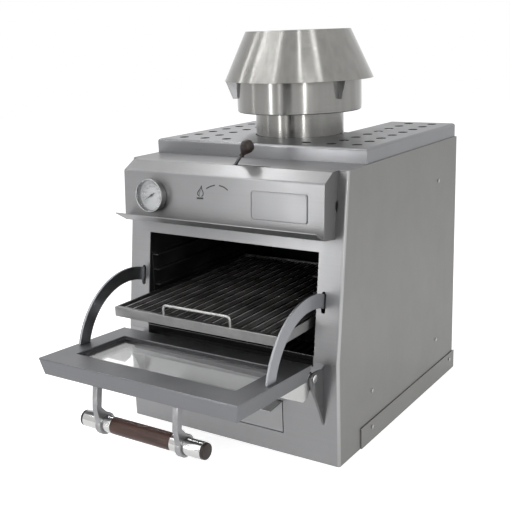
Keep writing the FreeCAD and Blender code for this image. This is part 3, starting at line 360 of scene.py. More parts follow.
def shaded(colour: Colour, share: float) -> Colour:
    """Colour made lighter or darker.

    Args:
        colour: the colour.
        share: factor on each channel.

    Returns:
        The new colour.
    """
    return (min(colour[0] * share, 1.0), min(colour[1] * share, 1.0), min(colour[2] * share, 1.0))


# ---------------------------------------------------------------- finishes


@dataclass(frozen=True)
class BrushedSteel:
    """Sheet steel with brush lines, faint clouds of tone, a slight wave in the sheet and, where given, a box
    painted black for soot and painted shade.
    """

    name: str
    colour: Colour
    roughness: float = 0.34
    grain: Grain = Grain.UPRIGHT
    cloud: float = 0.06
    scratch: float = 0.008
    wave: float = 0.06
    drawn: float = 0.8
    soot: Optional[tuple[Colour, Colour]] = None

    def make(self) -> bpy.types.Material:
        """Material of the finish."""
        bench = Bench(self.name)
        lines = bench.noise(bench.place(self.grain.value), 1.0, 3.0, 0.6)
        clouds = bench.noise(bench.place(), 7.0, 4.0, 0.55, 0.3)
        smudge = bench.noise(bench.place((1.0, 1.0, 0.6), shift=(0.4, 0.2, 0.1)), 22.0, 5.0, 0.6)
        colour = bench.mottled(bench.levels(bench.mixed(lines, 0.45, clouds), *NOISE_SPAN), self.colour,
                               1 - self.cloud, 1 + self.cloud)
        # Inside the given box the colour is painted black, for soot and for painted shade.
        if self.soot:
            colour = bench.tint(bench.within(*self.soot), colour, SOOT_AND_SHADE_BLACK)
        bench.set(Base_Color=colour, Metallic=1.0,
                  Roughness=bench.levels(bench.mixed(lines, 0.4, smudge), *NOISE_SPAN,
                                         self.roughness - 0.03, self.roughness + 0.05))
        if self.grain is not Grain.EVEN:
            bench.set(Anisotropic=self.drawn, Tangent=bench.across(self.grain.axis))
        swell = bench.relief(bench.noise(bench.place(), 5.0, 1.0), 0.01, self.wave)
        bench.set(Normal=bench.relief(lines, self.scratch * MM * 4, 0.6, swell))
        return bench.material


@dataclass(frozen=True)
class RolledSteel:
    """Rolled and polished sheet of the flue, with fine lines round the axis and soft dents."""

    name: str
    colour: Colour
    roughness: float

    def make(self) -> bpy.types.Material:
        """Material of the finish."""
        bench = Bench(self.name)
        lines = bench.noise(bench.place((2.0, 2.0, 700.0)), 1.0, 3.0, 0.6)
        upright = bench.noise(bench.place((60.0, 60.0, 1.2)), 1.0, 2.0, 0.5)
        swell = bench.relief(bench.noise(bench.place((7.0, 7.0, 0.7)), 1.0, 1.0), 0.004, 0.12)
        bench.set(Base_Color=bench.mottled(bench.levels(upright, *NOISE_SPAN), self.colour, 0.92, 1.08),
                  Metallic=1.0, Anisotropic=0.85, Anisotropic_Rotation=0.25,
                  Tangent=bench.across(Grain.UPRIGHT.axis),
                  Roughness=bench.levels(lines, *NOISE_SPAN, self.roughness - 0.03, self.roughness + 0.05),
                  Normal=bench.relief(lines, 0.00001, 0.3, swell))
        return bench.material


@dataclass(frozen=True)
class TurnedSteel:
    """Bright turned or ground steel of small parts."""

    name: str
    colour: Colour
    roughness: float
    marked: float = 0.1

    def make(self) -> bpy.types.Material:
        """Material of the finish."""
        bench = Bench(self.name)
        grain = bench.noise(bench.place(Grain.EVEN.value), 1.6, 4.0, 0.6)
        marks = bench.noise(bench.place(), 60.0, 3.0, 0.6)
        bench.set(Base_Color=bench.mottled(bench.levels(marks, 0.35, 0.65), self.colour, 1 - self.marked,
                                           1 + self.marked),
                  Metallic=1.0,
                  Roughness=bench.levels(marks, *NOISE_SPAN, self.roughness - 0.02,
                                         self.roughness + 0.02 + 0.6 * self.marked),
                  Normal=bench.relief(grain, 0.00001, 0.3))
        return bench.material


@dataclass(frozen=True)
class BurntSteel:
    """Steel or iron blackened by heat and soot, with lighter edges that stand for wear and, on the rack's bars, for
    a painted highlight.
    """

    name: str
    colour: Colour
    roughness: float
    metal: float
    rubbed: Colour = (0.12, 0.12, 0.125)
    pitted: float = 0.0004

    def make(self) -> bpy.types.Material:
        """Material of the finish."""
        bench = Bench(self.name)
        soot = bench.noise(bench.place(), 14.0, 6.0, 0.6, 0.4)
        pits = bench.noise(bench.place(), 420.0, 3.0, 0.6)
        colour = bench.mottled(bench.levels(soot, 0.35, 0.7), self.colour, 0.6, 1.8)
        # Lighter edges: wear, and on the rack's bars a painted highlight.
        colour = bench.tint(bench.sums("MULTIPLY", bench.edges(0.0012), bench.levels(soot, 0.3, 0.6, 0.2, 0.9)),
                            colour, self.rubbed)
        bench.set(Base_Color=colour, Metallic=self.metal,
                  Roughness=bench.levels(soot, *NOISE_SPAN, self.roughness - 0.12, self.roughness + 0.15),
                  Normal=bench.relief(pits, self.pitted, 0.25))
        return bench.material


@dataclass(frozen=True)
class OiledWood:
    """Dark oiled wood with its grain along one axis."""

    name: str
    colour: Colour
    along: Grain
    roughness: float = 0.42

    def make(self) -> bpy.types.Material:
        """Material of the finish."""
        bench = Bench(self.name)
        stretch = tuple(14.0 if pitch < LONG_PITCH else 150.0 for pitch in self.along.value)
        fibre = bench.noise(bench.place(stretch), 1.0, 6.0, 0.62, 0.6)
        pores = bench.noise(bench.place(tuple(5 * pitch for pitch in stretch)), 1.0, 3.0, 0.5)
        tone = bench.mixed(fibre, 0.7, pores)
        colour = bench.mottled(bench.levels(tone, 0.36, 0.64), self.colour, 0.45, 1.45)
        colour = bench.tint(bench.sums("MULTIPLY", bench.edges(0.002), 0.5), colour, shaded(self.colour, 2.2))
        bench.set(Base_Color=colour, Metallic=0.0, Specular_IOR_Level=0.32, Coat_Weight=0.1, Coat_Roughness=0.3,
                  Roughness=bench.levels(pores, *NOISE_SPAN, self.roughness - 0.08, self.roughness + 0.12),
                  Normal=bench.relief(tone, 0.0004, 0.35))
        return bench.material


@dataclass(frozen=True)
class HeatGlass:
    """Clear glass with faint wiping marks, which lets part of the light straight through."""

    name: str
    roughness: float = 0.02
    cover: float = 0.35
    colour: Colour = (0.96, 0.97, 0.96)

    def make(self) -> bpy.types.Material:
        """Material of the finish."""
        bench = Bench(self.name)
        wiped = bench.noise(bench.place((6.0, 26.0, 26.0), turn=(0.0, 0.0, 0.3)), 1.0, 4.0, 0.6)
        bench.set(Base_Color=(*self.colour, 1.0), Transmission_Weight=1.0, IOR=1.47, Alpha=self.cover,
                  Roughness=bench.levels(wiped, 0.5, 0.75, self.roughness, self.roughness + 0.1))
        return bench.material


@dataclass(frozen=True)
class WovenSeal:
    """Braided heat seal."""

    name: str
    colour: Colour = (0.012, 0.012, 0.013)

    def make(self) -> bpy.types.Material:
        """Material of the finish."""
        bench = Bench(self.name)
        weave = bench.sums("MAXIMUM", *(bench.bands(bench.place(turn=(0.0, 0.0, turn)), 260.0, 0.6)
                                        for turn in (0.8, -0.8)))
        bench.set(Base_Color=bench.mottled(weave, self.colour, 0.5, 2.6), Metallic=0.0, Roughness=0.85,
                  Normal=bench.relief(weave, 0.0006, 0.6))
        return bench.material


@dataclass(frozen=True)
class FibreBoard:
    """Mineral fibre board."""

    name: str
    colour: Colour = (0.62, 0.58, 0.5)

    def make(self) -> bpy.types.Material:
        """Material of the finish."""
        bench = Bench(self.name)
        fibre = bench.noise(bench.place((30.0, 200.0, 200.0)), 1.0, 6.0, 0.7, 1.0)
        bench.set(Base_Color=bench.mottled(fibre, self.colour, 0.7, 1.2), Metallic=0.0, Roughness=0.95,
                  Normal=bench.relief(fibre, 0.002, 0.5))
        return bench.material


@dataclass(frozen=True)
class Enamel:
    """Thin enamel or ink coat."""

    name: str
    colour: Colour
    roughness: float

    def make(self) -> bpy.types.Material:
        """Material of the finish."""
        bench = Bench(self.name)
        peel = bench.noise(bench.place(), 600.0, 3.0)
        tone = bench.noise(bench.place(), 40.0, 3.0)
        bench.set(Base_Color=bench.mottled(tone, self.colour, 0.93, 1.05), Metallic=0.0,
                  Roughness=bench.levels(tone, *NOISE_SPAN, self.roughness - 0.05, self.roughness + 0.08),
                  Normal=bench.relief(peel, 0.00002, 0.3))
        return bench.material


class Finishes:
    """Finishes of the oven, each made once."""

    casing = BrushedSteel("casing_satin_upright", (0.235, 0.233, 0.224), 0.4, Grain.UPRIGHT)
    face = BrushedSteel("casing_satin_across", (0.255, 0.255, 0.259), 0.36, Grain.ACROSS)
    # The box along the sill of the opening is painted black, for soot and for painted shade.
    mouth = BrushedSteel("mouth_satin_across", (0.28, 0.28, 0.285), 0.36, Grain.ACROSS,
                         soot=((-0.206, -0.4, 0.199), (0.206, -0.2, 0.2225)))
    # Painted shade: the shelf is black in the box under the cover, where light comes in only through the vents.
    shelf = BrushedSteel("shelf_satin_painted_shade", (0.22, 0.22, 0.225), 0.34, Grain.ACROSS,
                         soot=((-0.255, -0.162, 0.5), (0.255, 0.4, 0.6)))
    cover = BrushedSteel("cover_satin", (0.235, 0.237, 0.245), 0.3, Grain.ACROSS, 0.04, 0.004, 0.02)
    plate = BrushedSteel("plate_satin", (0.22, 0.22, 0.225), 0.34, Grain.ACROSS, 0.05, 0.004, 0.0)
    door = BrushedSteel("door_satin", (0.17, 0.172, 0.18), 0.33, Grain.ACROSS, 0.06)
    rolled = RolledSteel("rolled_polished", (0.26, 0.256, 0.245), 0.22)
    bright = TurnedSteel("turned_bright", (0.5, 0.5, 0.49), 0.12, marked=0.02)
    satin = TurnedSteel("ground_satin", (0.27, 0.27, 0.275), 0.32)
    # Darker steel of the hinge fins: painted shade.
    fin = TurnedSteel("fin_ground_painted_shade", (0.17, 0.17, 0.172), 0.3, marked=0.05)
    # Darker steel of the hood's side ends: painted shade.
    end = BrushedSteel("hood_end_painted_shade", (0.15, 0.15, 0.148), 0.36, Grain.UPRIGHT)
    stay = TurnedSteel("stay_ground", (0.27, 0.275, 0.29), 0.36, marked=0.03)
    plain = BrushedSteel("plain_rolled", (0.2, 0.2, 0.205), 0.45, Grain.EVEN, 0.16, 0.02, 0.0)
    drawer = BrushedSteel("drawer_satin", (0.31, 0.31, 0.315), 0.36, Grain.ACROSS)
    # Paler steel for the drawer front's upward faces: painted light on the top of its lip.
    pull = BrushedSteel("drawer_lip_painted_light", (0.56, 0.56, 0.565), 0.4, Grain.ACROSS)
    rack = TurnedSteel("rack_satin", (0.31, 0.31, 0.305), 0.34, marked=0.05)
    wire = TurnedSteel("rack_wire", (0.36, 0.36, 0.355), 0.3, marked=0.05)
    # The bars' lighter edges are partly a painted highlight.
    bars = BurntSteel("rack_bars_burnt", (0.07, 0.067, 0.065), 0.42, 0.5, (0.16, 0.155, 0.15), 0.00005)
    # Pale finish of the bars' left lips: a painted highlight.
    lip = BurntSteel("rack_lips_painted_highlight", (0.78, 0.77, 0.74), 0.3, 0.7, (0.85, 0.84, 0.82), 0.00005)
    # Black of the chamber's real soot, also used as painted shade under the cover and in the drawer's gap.
    soot = BurntSteel("sooty_steel", (0.012, 0.012, 0.013), 0.5, 0.5)
    # Dark steel of the ash box: ash stain, and painted shade seen through the gaps round the drawer front.
    ash = BurntSteel("ash_stained_and_painted_shade_steel", (0.03, 0.03, 0.03), 0.5, 0.6)
    iron = BurntSteel("cast_iron", (0.02, 0.02, 0.021), 0.6, 0.5, (0.1, 0.1, 0.1), 0.001)
    lever = BurntSteel("lever_darkened", (0.06, 0.06, 0.062), 0.3, 0.95, (0.4, 0.4, 0.4), 0.0001)
    screw = TurnedSteel("screw_zinc", (0.36, 0.36, 0.36), 0.22)
    # Paler steel of the bent corners: a painted highlight along the bends.
    bend = BrushedSteel("casing_bend_painted_highlight", (0.36, 0.36, 0.355), 0.3, Grain.UPRIGHT)
    bezel = TurnedSteel("bezel_turned", (0.3, 0.3, 0.3), 0.22, marked=0.02)
    wood = OiledWood("oiled_wood_across", (0.05, 0.02, 0.013), Grain.ACROSS)
    knob = OiledWood("oiled_wood_upright", (0.016, 0.008, 0.006), Grain.UPRIGHT)
    glass = HeatGlass("heat_glass")
    lens = HeatGlass("lens_glass", roughness=0.0, cover=0.15)
    seal = WovenSeal("braided_seal")
    board = FibreBoard("fibre_board")
    dial = Enamel("dial_enamel", (0.53, 0.54, 0.55), 0.45)
    ink = Enamel("black_ink", (0.012, 0.012, 0.012), 0.5)

    def __init__(self) -> None:
        """Start with no material made."""
        self.made: dict[str, bpy.types.Material] = {}

    def of(self, finish: object) -> bpy.types.Material:
        """Material of a finish.

        Args:
            finish: one of the finishes above.

        Returns:
            The material, made on first use.
        """
        if finish.name not in self.made:
            self.made[finish.name] = finish.make()
        return self.made[finish.name]


FINISHES = Finishes()


# ---------------------------------------------------------------- shapes


def mesh_object(name: str, mesh: bpy.types.Mesh) -> bpy.types.Object:
    """Object of a mesh, linked to the scene.

    Args:
        name: name of the piece.
        mesh: its mesh.

    Returns:
        The object.
    """
    piece = bpy.data.objects.new(name, mesh)
    bpy.context.scene.collection.objects.link(piece)
    return piece


def shape(name: str, points: Sequence[Vector], faces: Sequence[Sequence[int]]) -> bpy.types.Object:
    """Object from points and faces, welded, with its normals outwards.

    Args:
        name: name of the piece.
        points: places of the corners.
        faces: corner numbers of each face.

    Returns:
        The object.
    """
    mesh = bpy.data.meshes.new(name)
    mesh.from_pydata([tuple(point) for point in points], [], [tuple(face) for face in faces])
    tidy(mesh)
    return mesh_object(name, mesh)


def tidy(mesh: bpy.types.Mesh, weld: float = 1e-6, flat: bool = False) -> None:
    """Weld a mesh and turn its faces outwards.

    Args:
        mesh: the mesh.
        weld: distance within which corners are one.
        flat: True to join triangles of one plane.
    """
    work = bmesh.new()
    work.from_mesh(mesh)
    bmesh.ops.remove_doubles(work, verts=work.verts, dist=weld)
    bmesh.ops.dissolve_degenerate(work, edges=work.edges, dist=weld)
    if flat:
        bmesh.ops.dissolve_limit(work, angle_limit=math.radians(0.4), verts=work.verts, edges=work.edges)
    bmesh.ops.recalc_face_normals(work, faces=work.faces)
    work.to_mesh(mesh)
    work.free()


def baked(piece: bpy.types.Object) -> bpy.types.Object:
    """Put an object's modifiers into its mesh.

    Args:
        piece: the object.

    Returns:
        The same object, with a plain mesh.
    """
    graph = bpy.context.evaluated_depsgraph_get()
    mesh = bpy.data.meshes.new_from_object(piece.evaluated_get(graph), preserve_all_data_layers=True,
                                           depsgraph=graph)
    old = piece.data
    piece.modifiers.clear()
    piece.data = mesh
    if old.users == 0:
        bpy.data.meshes.remove(old)
    return piece


def smooth(piece: bpy.types.Object, angle: float = 35.0) -> None:
    """Shade a piece smooth, sharp past an angle.

    Args:
        piece: the object.
        angle: the angle in degrees.
    """
    piece.data.polygons.foreach_set("use_smooth", [True] * len(piece.data.polygons))
    piece.data.set_sharp_from_angle(angle=math.radians(angle))


def softened(corners: Sequence[tuple[float, float, float]], steps: int = 4) -> list[tuple[float, float]]:
    """Closed outline with its corners rounded.

    Args:
        corners: x, y and rounding radius of each corner.
        steps: divisions of each rounding.

    Returns:
        The outline's points.
    """
    points: list[tuple[float, float]] = []
    for index, (x, y, radius) in enumerate(corners):
        spot = Vector((x, y))
        before = Vector(corners[index - 1][:2]) - spot
        after = Vector(corners[(index + 1) % len(corners)][:2]) - spot
        reach = min(radius, before.length * 0.49, after.length * 0.49)
        if reach < 1e-6:
            points.append((x, y))
            continue
        start, end = spot + before.normalized() * reach, spot + after.normalized() * reach
        for step in range(steps + 1):
            part = step / steps
            point = start * (1 - part) ** 2 + spot * 2 * part * (1 - part) + end * part ** 2
            points.append((point.x, point.y))
    return points


def torus_faces(loops: int, count: int) -> list[tuple[int, ...]]:
    """Faces between closed loops of points, of which the last joins the first.

    Args:
        loops: number of loops.
        count: points in each loop.

    Returns:
        Point numbers of each face.
    """
    return [(loop * count + index, loop * count + (index + 1) % count,
             (loop + 1) % loops * count + (index + 1) % count, (loop + 1) % loops * count + index)
            for loop in range(loops) for index in range(count)]


def prism(name: str, sections: Sequence[Sequence[Vector]]) -> bpy.types.Object:
    """Closed piece through sections with the same number of points.

    Args:
        name: name of the piece.
        sections: points of each section, from one end to the other.

    Returns:
        The object.
    """
    count, last = len(sections[0]), len(sections) - 1
    faces = [tuple(range(count)), tuple(range(last * count, (last + 1) * count))]
    faces += [(low + index, low + (index + 1) % count, low + count + (index + 1) % count, low + count + index)
              for low in range(0, last * count, count) for index in range(count)]
    return shape(name, [point for section in sections for point in section], faces)


def lathe(name: str, profile: Sequence[tuple[float, float]], centre: Vector, out: Vector,
          steps: int) -> bpy.types.Object:
    """Turned piece from a closed profile.

    Args:
        name: name of the piece.
        profile: radius and height of each point, in metres.
        centre: point of the axis at height 0.
        out: direction in which the height grows.
        steps: divisions round the axis.

    Returns:
        The object.
    """
    out = out.normalized()
    side = out.orthogonal().normalized()
    other = out.cross(side)
    points = []
    for step in range(steps):
        turn = 2 * math.pi * step / steps
        arm = side * math.cos(turn) + other * math.sin(turn)
        points += [centre + arm * radius + out * height for radius, height in profile]
    piece = shape(name, points, torus_faces(steps, len(profile)))
    smooth(piece)
    return piece


def curve_mesh(curve: bpy.types.Curve) -> bpy.types.Mesh:
    """Plain mesh of a curve or a text.

    Args:
        curve: the curve.

    Returns:
        The mesh.
    """
    holder = bpy.data.objects.new(curve.name, curve)
    bpy.context.scene.collection.objects.link(holder)
    graph = bpy.context.evaluated_depsgraph_get()
    mesh = bpy.data.meshes.new_from_object(holder.evaluated_get(graph))
    bpy.data.objects.remove(holder)
    return mesh


def wire(name: str, path: Sequence[Vector], radius: float) -> bpy.types.Object:
    """Round wire along a path of points, closed at its ends.

    Args:
        name: name of the piece.
        path: points of its middle line.
        radius: radius of the wire.

    Returns:
        The object.
    """
    curve = bpy.data.curves.new(name, "CURVE")
    curve.dimensions = "3D"
    curve.bevel_depth = radius
    curve.bevel_resolution = 5
    curve.use_fill_caps = True
    line = curve.splines.new("POLY")
    line.points.add(len(path) - 1)
    for point, spot in zip(line.points, path):
        point.co = (*spot, 1.0)
    mesh = curve_mesh(curve)
    tidy(mesh)
    piece = mesh_object(name, mesh)
    smooth(piece)
    return piece


def bent(path: Sequence[Vector], radius: float, steps: int) -> list[Vector]:
    """Open path with its inner corners rounded.

    Args:
        path: corners of the path.
        radius: radius of each bend.
        steps: divisions of each bend.

    Returns:
        The path's points.
    """
    points = [path[0]]
    for before, spot, after in zip(path, path[1:], path[2:]):
        first, second = before - spot, after - spot
        reach = min(radius, first.length * 0.49, second.length * 0.49)
        start, end = spot + first.normalized() * reach, spot + second.normalized() * reach
        for step in range(steps + 1):
            part = step / steps
            points.append(start * (1 - part) ** 2 + spot * 2 * part * (1 - part) + end * part ** 2)
    return points + [path[-1]]


def slab(name: str, outline: Sequence[tuple[float, float]], origin: Vector, right: Vector, up: Vector,
         thickness: float) -> bpy.types.Object:
    """Flat piece from an outline, as thick as given along right x up.

    Args:
        name: name of the piece.
        outline: points of the outline in its own plane.
        origin: origin of that plane.
        right: its first direction.
        up: its second direction.
        thickness: how thick, along the plane's normal.

    Returns:
        The object.
    """
    out = right.cross(up).normalized() * thickness
    low = [origin + right * x + up * y for x, y in outline]
    return prism(name, (low, [point + out for point in low]))


def joined(name: str, pieces: Sequence[bpy.types.Object]) -> bpy.types.Object:
    """One object from several.

    Args:
        name: name of the new piece.
        pieces: objects that it takes in.

    Returns:
        The object.
    """
    work = bmesh.new()
    slots: list[bpy.types.Material] = []
    for piece in pieces:
        start = len(work.faces)
        work.from_mesh(piece.data)
        work.faces.ensure_lookup_table()
        own = list(piece.data.materials)
        for coat in own:
            if coat not in slots:
                slots.append(coat)
        for face in work.faces[start:]:
            if own:
                face.material_index = slots.index(own[min(face.material_index, len(own) - 1)])
    mesh = bpy.data.meshes.new(name)
    work.to_mesh(mesh)
    work.free()
    for coat in slots:
        mesh.materials.append(coat)
    for piece in pieces:
        bpy.data.objects.remove(piece)
    return mesh_object(name, mesh)


def paint(piece: bpy.types.Object, finish: object) -> bpy.types.Object:
    """Give a piece one finish.

    Args:
        piece: the object.
        finish: its finish.

    Returns:
        The same object.
    """
    piece.data.materials.clear()
    piece.data.materials.append(FINISHES.of(finish))
    return piece


def faced(piece: bpy.types.Object, finish: object, test: Callable[[bpy.types.MeshPolygon], bool]) -> None:
    """Give some faces of a piece a second finish.

    Args:
        piece: the object.
        finish: the second finish.
        test: tells whether a face takes it.
    """
    piece.data.materials.append(FINISHES.of(finish))
    for face in piece.data.polygons:
        if test(face):
            face.material_index = len(piece.data.materials) - 1


def fit(piece: bpy.types.Object, body: Body, slot: str, *nodes: str) -> bpy.types.Object:
    """Let a piece ride on its body, and stand for nodes where given.

    Args:
        piece: the object.
        body: body that it moves with.
        slot: material slot that its finish belongs to; not used.
        nodes: nodes that it stands for.

    Returns:
        The same object.
    """
    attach(piece, body.value)
    if nodes:
        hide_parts(*nodes)
    LOG.info("%s on %s, %d faces", piece.name, body.value, len(piece.data.polygons))
    return piece


def solid_copy(node: str) -> bpy.types.Object:
    """Copy of a node's solid, welded and with its flats joined.

    Args:
        node: name of the node.

    Returns:
        The copy.
    """
    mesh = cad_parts[node].data.copy()
    mesh.name = node + "_dressed"
    tidy(mesh, 2e-6, flat=True)
    return mesh_object(node + "_dressed", mesh)


def mesh_alone(piece: bpy.types.Object) -> bpy.types.Mesh:
    """Mesh of a piece that is itself taken away.

    Args:
        piece: the object.

    Returns:
        Its mesh.
    """
    mesh = piece.data
    bpy.data.objects.remove(piece)
    return mesh


def middles(mesh: bpy.types.Mesh) -> list[Vector]:
    """Middle of each loose part of a mesh.

    Args:
        mesh: the mesh.

    Returns:
        The middles, in the order of the mesh's points.
    """
    work = bmesh.new()
    work.from_mesh(mesh)
    seen: set[int] = set()
    spots = []
    for first in work.verts:
        if first.index in seen:
            continue
        seen.add(first.index)
        part = [first]
        for vert in part:
            others = [edge.other_vert(vert) for edge in vert.link_edges]
            part += [other for other in others if other.index not in seen]
            seen.update(other.index for other in others)
        spots.append(sum((vert.co for vert in part), Vector()) / len(part))
    work.free()
    return spots


def levelled(mesh: bpy.types.Mesh) -> None:
    """Give a mesh's large flat faces their own normals.

    Args:
        mesh: the mesh.
    """
    normals = [Vector(corner.vector) for corner in mesh.corner_normals]
    for face in mesh.polygons:
        ring = [mesh.vertices[vert].co for vert in face.vertices]
        outline = sum((spot - after).length for spot, after in zip(ring, ring[1:] + ring[:1]))
        if face.area > max(BROAD_AREA, BROAD_WIDTH * outline):
            for corner in face.loop_indices:
                normals[corner] = face.normal.copy()
    mesh.normals_split_custom_set(normals)


def rounded(piece: bpy.types.Object, width: float) -> bpy.types.Object:
    """Round a piece's sharp edges, inside the box that it had.

    Args:
        piece: the object.
        width: width of the rounding in metres.

    Returns:
        The same object, with the edges in its mesh.
    """
    spots = [vert.co for vert in piece.data.vertices]
    low, high = ([pick(spot[axis] for spot in spots) for axis in range(3)] for pick in (min, max))
    piece.data.polygons.foreach_set("use_smooth", [True] * len(piece.data.polygons))
    bevel = piece.modifiers.new("rounded_edges", "BEVEL")
    bevel.width = width
    bevel.segments = ROUNDING_STEPS
    bevel.limit_method = "ANGLE"
    bevel.angle_limit = math.radians(CREASE)
    bevel.harden_normals = True
    baked(piece)
    for vert in piece.data.vertices:
        vert.co = [min(max(value, least), most) for value, least, most in zip(vert.co, low, high)]
    levelled(piece.data)
    return piece


def dress(node: str, body: Body, slot: str, finish: object, width: float) -> bpy.types.Object:
    """Show a node with rounded edges and its finish.

    Args:
        node: name of the node.
        body: body that it belongs to.
        slot: its material slot.
        finish: its finish.
        width: width of its rounded edges in metres.

    Returns:
        The piece that stands for the node.
    """
    return fit(paint(rounded(solid_copy(node), width), finish), body, slot, node)


def finish_node(node: str, finish: object) -> None:
    """Give a node's own solid a finish.

    Args:
        node: name of the node.
        finish: its finish.
    """
    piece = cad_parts[node]
    for slot in piece.material_slots:
        slot.material = FINISHES.of(finish)
    LOG.info("%s keeps its solid", node)


# ---------------------------------------------------------------- repeated shapes


class Pattern(Tree):
    """Geometry Nodes tree with named sizes, which is baked into a plain mesh."""

    def __init__(self, name: str, **sizes: Union[int, float]) -> None:
        """Start a tree.

        Args:
            name: name of the tree.
            sizes: its named inputs and their values.
        """
        self.name = name
        self.sizes = sizes
        self.group = bpy.data.node_groups.new(name, "GeometryNodeTree")
        super().__init__(self.group)
        face = self.group.interface
        face.new_socket("Geometry", in_out="INPUT", socket_type="NodeSocketGeometry")
        self.sockets = {}
        for key, value in sizes.items():
            kind = "NodeSocketInt" if isinstance(value, int) else "NodeSocketFloat"
            self.sockets[key] = face.new_socket(key, in_out="INPUT", socket_type=kind).identifier
        face.new_socket("Geometry", in_out="OUTPUT", socket_type="NodeSocketGeometry")
        self.source = self.add("NodeGroupInput")
        self.sink = self.add("NodeGroupOutput")

    def size(self, key: str) -> Socket:
        """Socket of a named size."""
        return self.source.outputs[key]

    def vector(self, x: Feed, y: Feed, z: Feed) -> Socket:
        """Vector from three numbers."""
        return self.add("ShaderNodeCombineXYZ", {"X": x, "Y": y, "Z": z}).outputs[0]

    def row(self, count: Feed, start: Socket, step: Socket) -> Socket:
        """Row of points.

        Args:
            count: number of points.
            start: place of the first one.
            step: way from each point to the next.

        Returns:
            The points' socket.
        """
        return self.add("GeometryNodeMeshLine", {"Count": count, "Start Location": start,
                                                 "Offset": step}).outputs["Mesh"]

    def copies(self, points: Socket, instance: Socket) -> Socket:
        """Copies of one shape on points, upright and unscaled."""
        return self.add("GeometryNodeInstanceOnPoints", {"Points": points, "Instance": instance}).outputs[0]

    def bake(self, name: str, result: Socket, finish: object,
             mesh: Optional[bpy.types.Mesh] = None) -> bpy.types.Object:
        """End the tree, run it and keep its result as a plain mesh.

        Args:
            name: name of the piece.
            result: geometry that the tree makes.
            finish: finish of the piece.
            mesh: mesh that goes into the tree, if any.

        Returns:
            The object.
        """
        real = self.add("GeometryNodeRealizeInstances", {"Geometry": result})
        coat = self.add("GeometryNodeSetMaterial", {"Geometry": real.outputs[0]})
        coat.inputs["Material"].default_value = FINISHES.of(finish)
        self.links.new(coat.outputs[0], self.sink.inputs[0])
        piece = mesh_object(name, mesh or bpy.data.meshes.new(name))
        modifier = piece.modifiers.new(self.name, "NODES")
        modifier.node_group = self.group
        for key, value in self.sizes.items():
            modifier[self.sockets[key]] = value
        baked(piece)
        piece.data.name = name
        return piece


# ---------------------------------------------------------------- sub-assemblies


@dataclass
class Casing:
    """Casing sheets with bent front corners, rails and their screws."""

    edge: float = 0.9 * MM
    bend: float = 5.0 * MM
    bend_steps: int = 8
    past: float = 1.0 * MM
    half: float = 260.0 * MM
    nose: float = 212.0 * MM
    top: float = 576.0 * MM
    lean: float = math.radians(7.66)
    screw_radius: float = 4.5 * MM
    screw_height: float = 2.2 * MM

    def build(self) -> None:
        """Dress the casing."""
        square = [(-self.past, -self.past), (self.bend, -self.past), (self.bend, self.bend),
                  (-self.past, self.bend)]
        cutters = [self.corner("corner_cut", side, square, self.past) for side in (-1.0, 1.0)]
        for node, finish in (("left_side_panel", FINISHES.casing), ("right_side_panel", FINISHES.casing),
                             ("front_frame", FINISHES.mouth), ("lower_front_panel", FINISHES.mouth),
                             ("top_shelf", FINISHES.shelf)):
            sheet = self.trimmed(rounded(solid_copy(node), self.edge), cutters)
            fit(paint(sheet, finish), Body.OVEN, "casing_steel", node)
        for cutter in cutters:
            bpy.data.objects.remove(cutter)
        self.corners()
        for node in ("left_side_rail", "right_side_rail", "back_panel", "base_pan"):
            dress(node, Body.OVEN, "casing_steel", FINISHES.casing, self.edge)
        self.screws()

    def corner(self, name: str, side: float, section: Sequence[tuple[float, float]],
               over: float = 0.0) -> bpy.types.Object:
        """Prism along a front corner, upright to the nose and leaning above it.

        Args:
            name: name of the piece.
            side: -1 for the left corner and 1 for the right one.
            section: points as distances inwards from the side and back from the front.
            over: how far it runs past both ends.

        Returns:
            The object.
        """
        sections = []
        for level in (-over, self.nose, self.top + over):
            back = max(level - self.nose, 0.0) * math.tan(self.lean)
            sections.append([Vector((side * (self.half - inwards), FRONT + back + behind, level))
                             for inwards, behind in section])
        return prism(name, sections)

    def trimmed(self, piece: bpy.types.Object, cutters: Sequence[bpy.types.Object]) -> bpy.types.Object:
        """Take the square corners off a sheet.

        Args:
            piece: the sheet.
            cutters: prisms that are cut away.

        Returns:
            The same object.
        """
        for cutter in cutters:
            cut = piece.modifiers.new("corner", "BOOLEAN")
            cut.operation = "DIFFERENCE"
            cut.object = cutter
        baked(piece)
        smooth(piece, 40)
        even = piece.modifiers.new("even_flats", "WEIGHTED_NORMAL")
        even.keep_sharp = True
        return baked(piece)

    def corners(self) -> None:
        """Bent corners between the front and the sides."""
        turns = [math.radians(90 * step / self.bend_steps) for step in range(self.bend_steps + 1)]
        section = [(self.bend * (1 - math.cos(turn)), self.bend * (1 - math.sin(turn))) for turn in turns]
        strips = [self.corner("bend", side, [*section, (self.bend, self.bend)]) for side in (-1.0, 1.0)]
        # The bends take the paler finish, a painted highlight.
        piece = paint(joined("casing_corner_bends", strips), FINISHES.bend)
        smooth(piece)
        fit(piece, Body.OVEN, "casing_steel")

    def screws(self) -> None:
        """Round heads where the solids have their screws."""
        mesh = bpy.data.meshes.new("screw_spots")
        mesh.from_pydata([tuple(spot) for spot in middles(mesh_alone(solid_copy("casing_screws")))], [], [])
        tree = Pattern("screw_heads", radius=self.screw_radius, height=self.screw_height)
        ball = tree.add("GeometryNodeMeshUVSphere", {"Segments": 24, "Rings": 14, "Radius": 1.0})
        head = tree.add("GeometryNodeTransform", {
            "Geometry": ball.outputs["Mesh"],
            "Scale": tree.vector(tree.sums("MULTIPLY", tree.size("height"), 0.5), tree.size("radius"),
                                 tree.size("radius"))})
        copies = tree.copies(tree.source.outputs["Geometry"], head.outputs[0])
        piece = tree.bake("casing_screw_heads", copies, FINISHES.screw, mesh)
        smooth(piece)
        fit(piece, Body.OVEN, "screw_steel", "casing_screws")


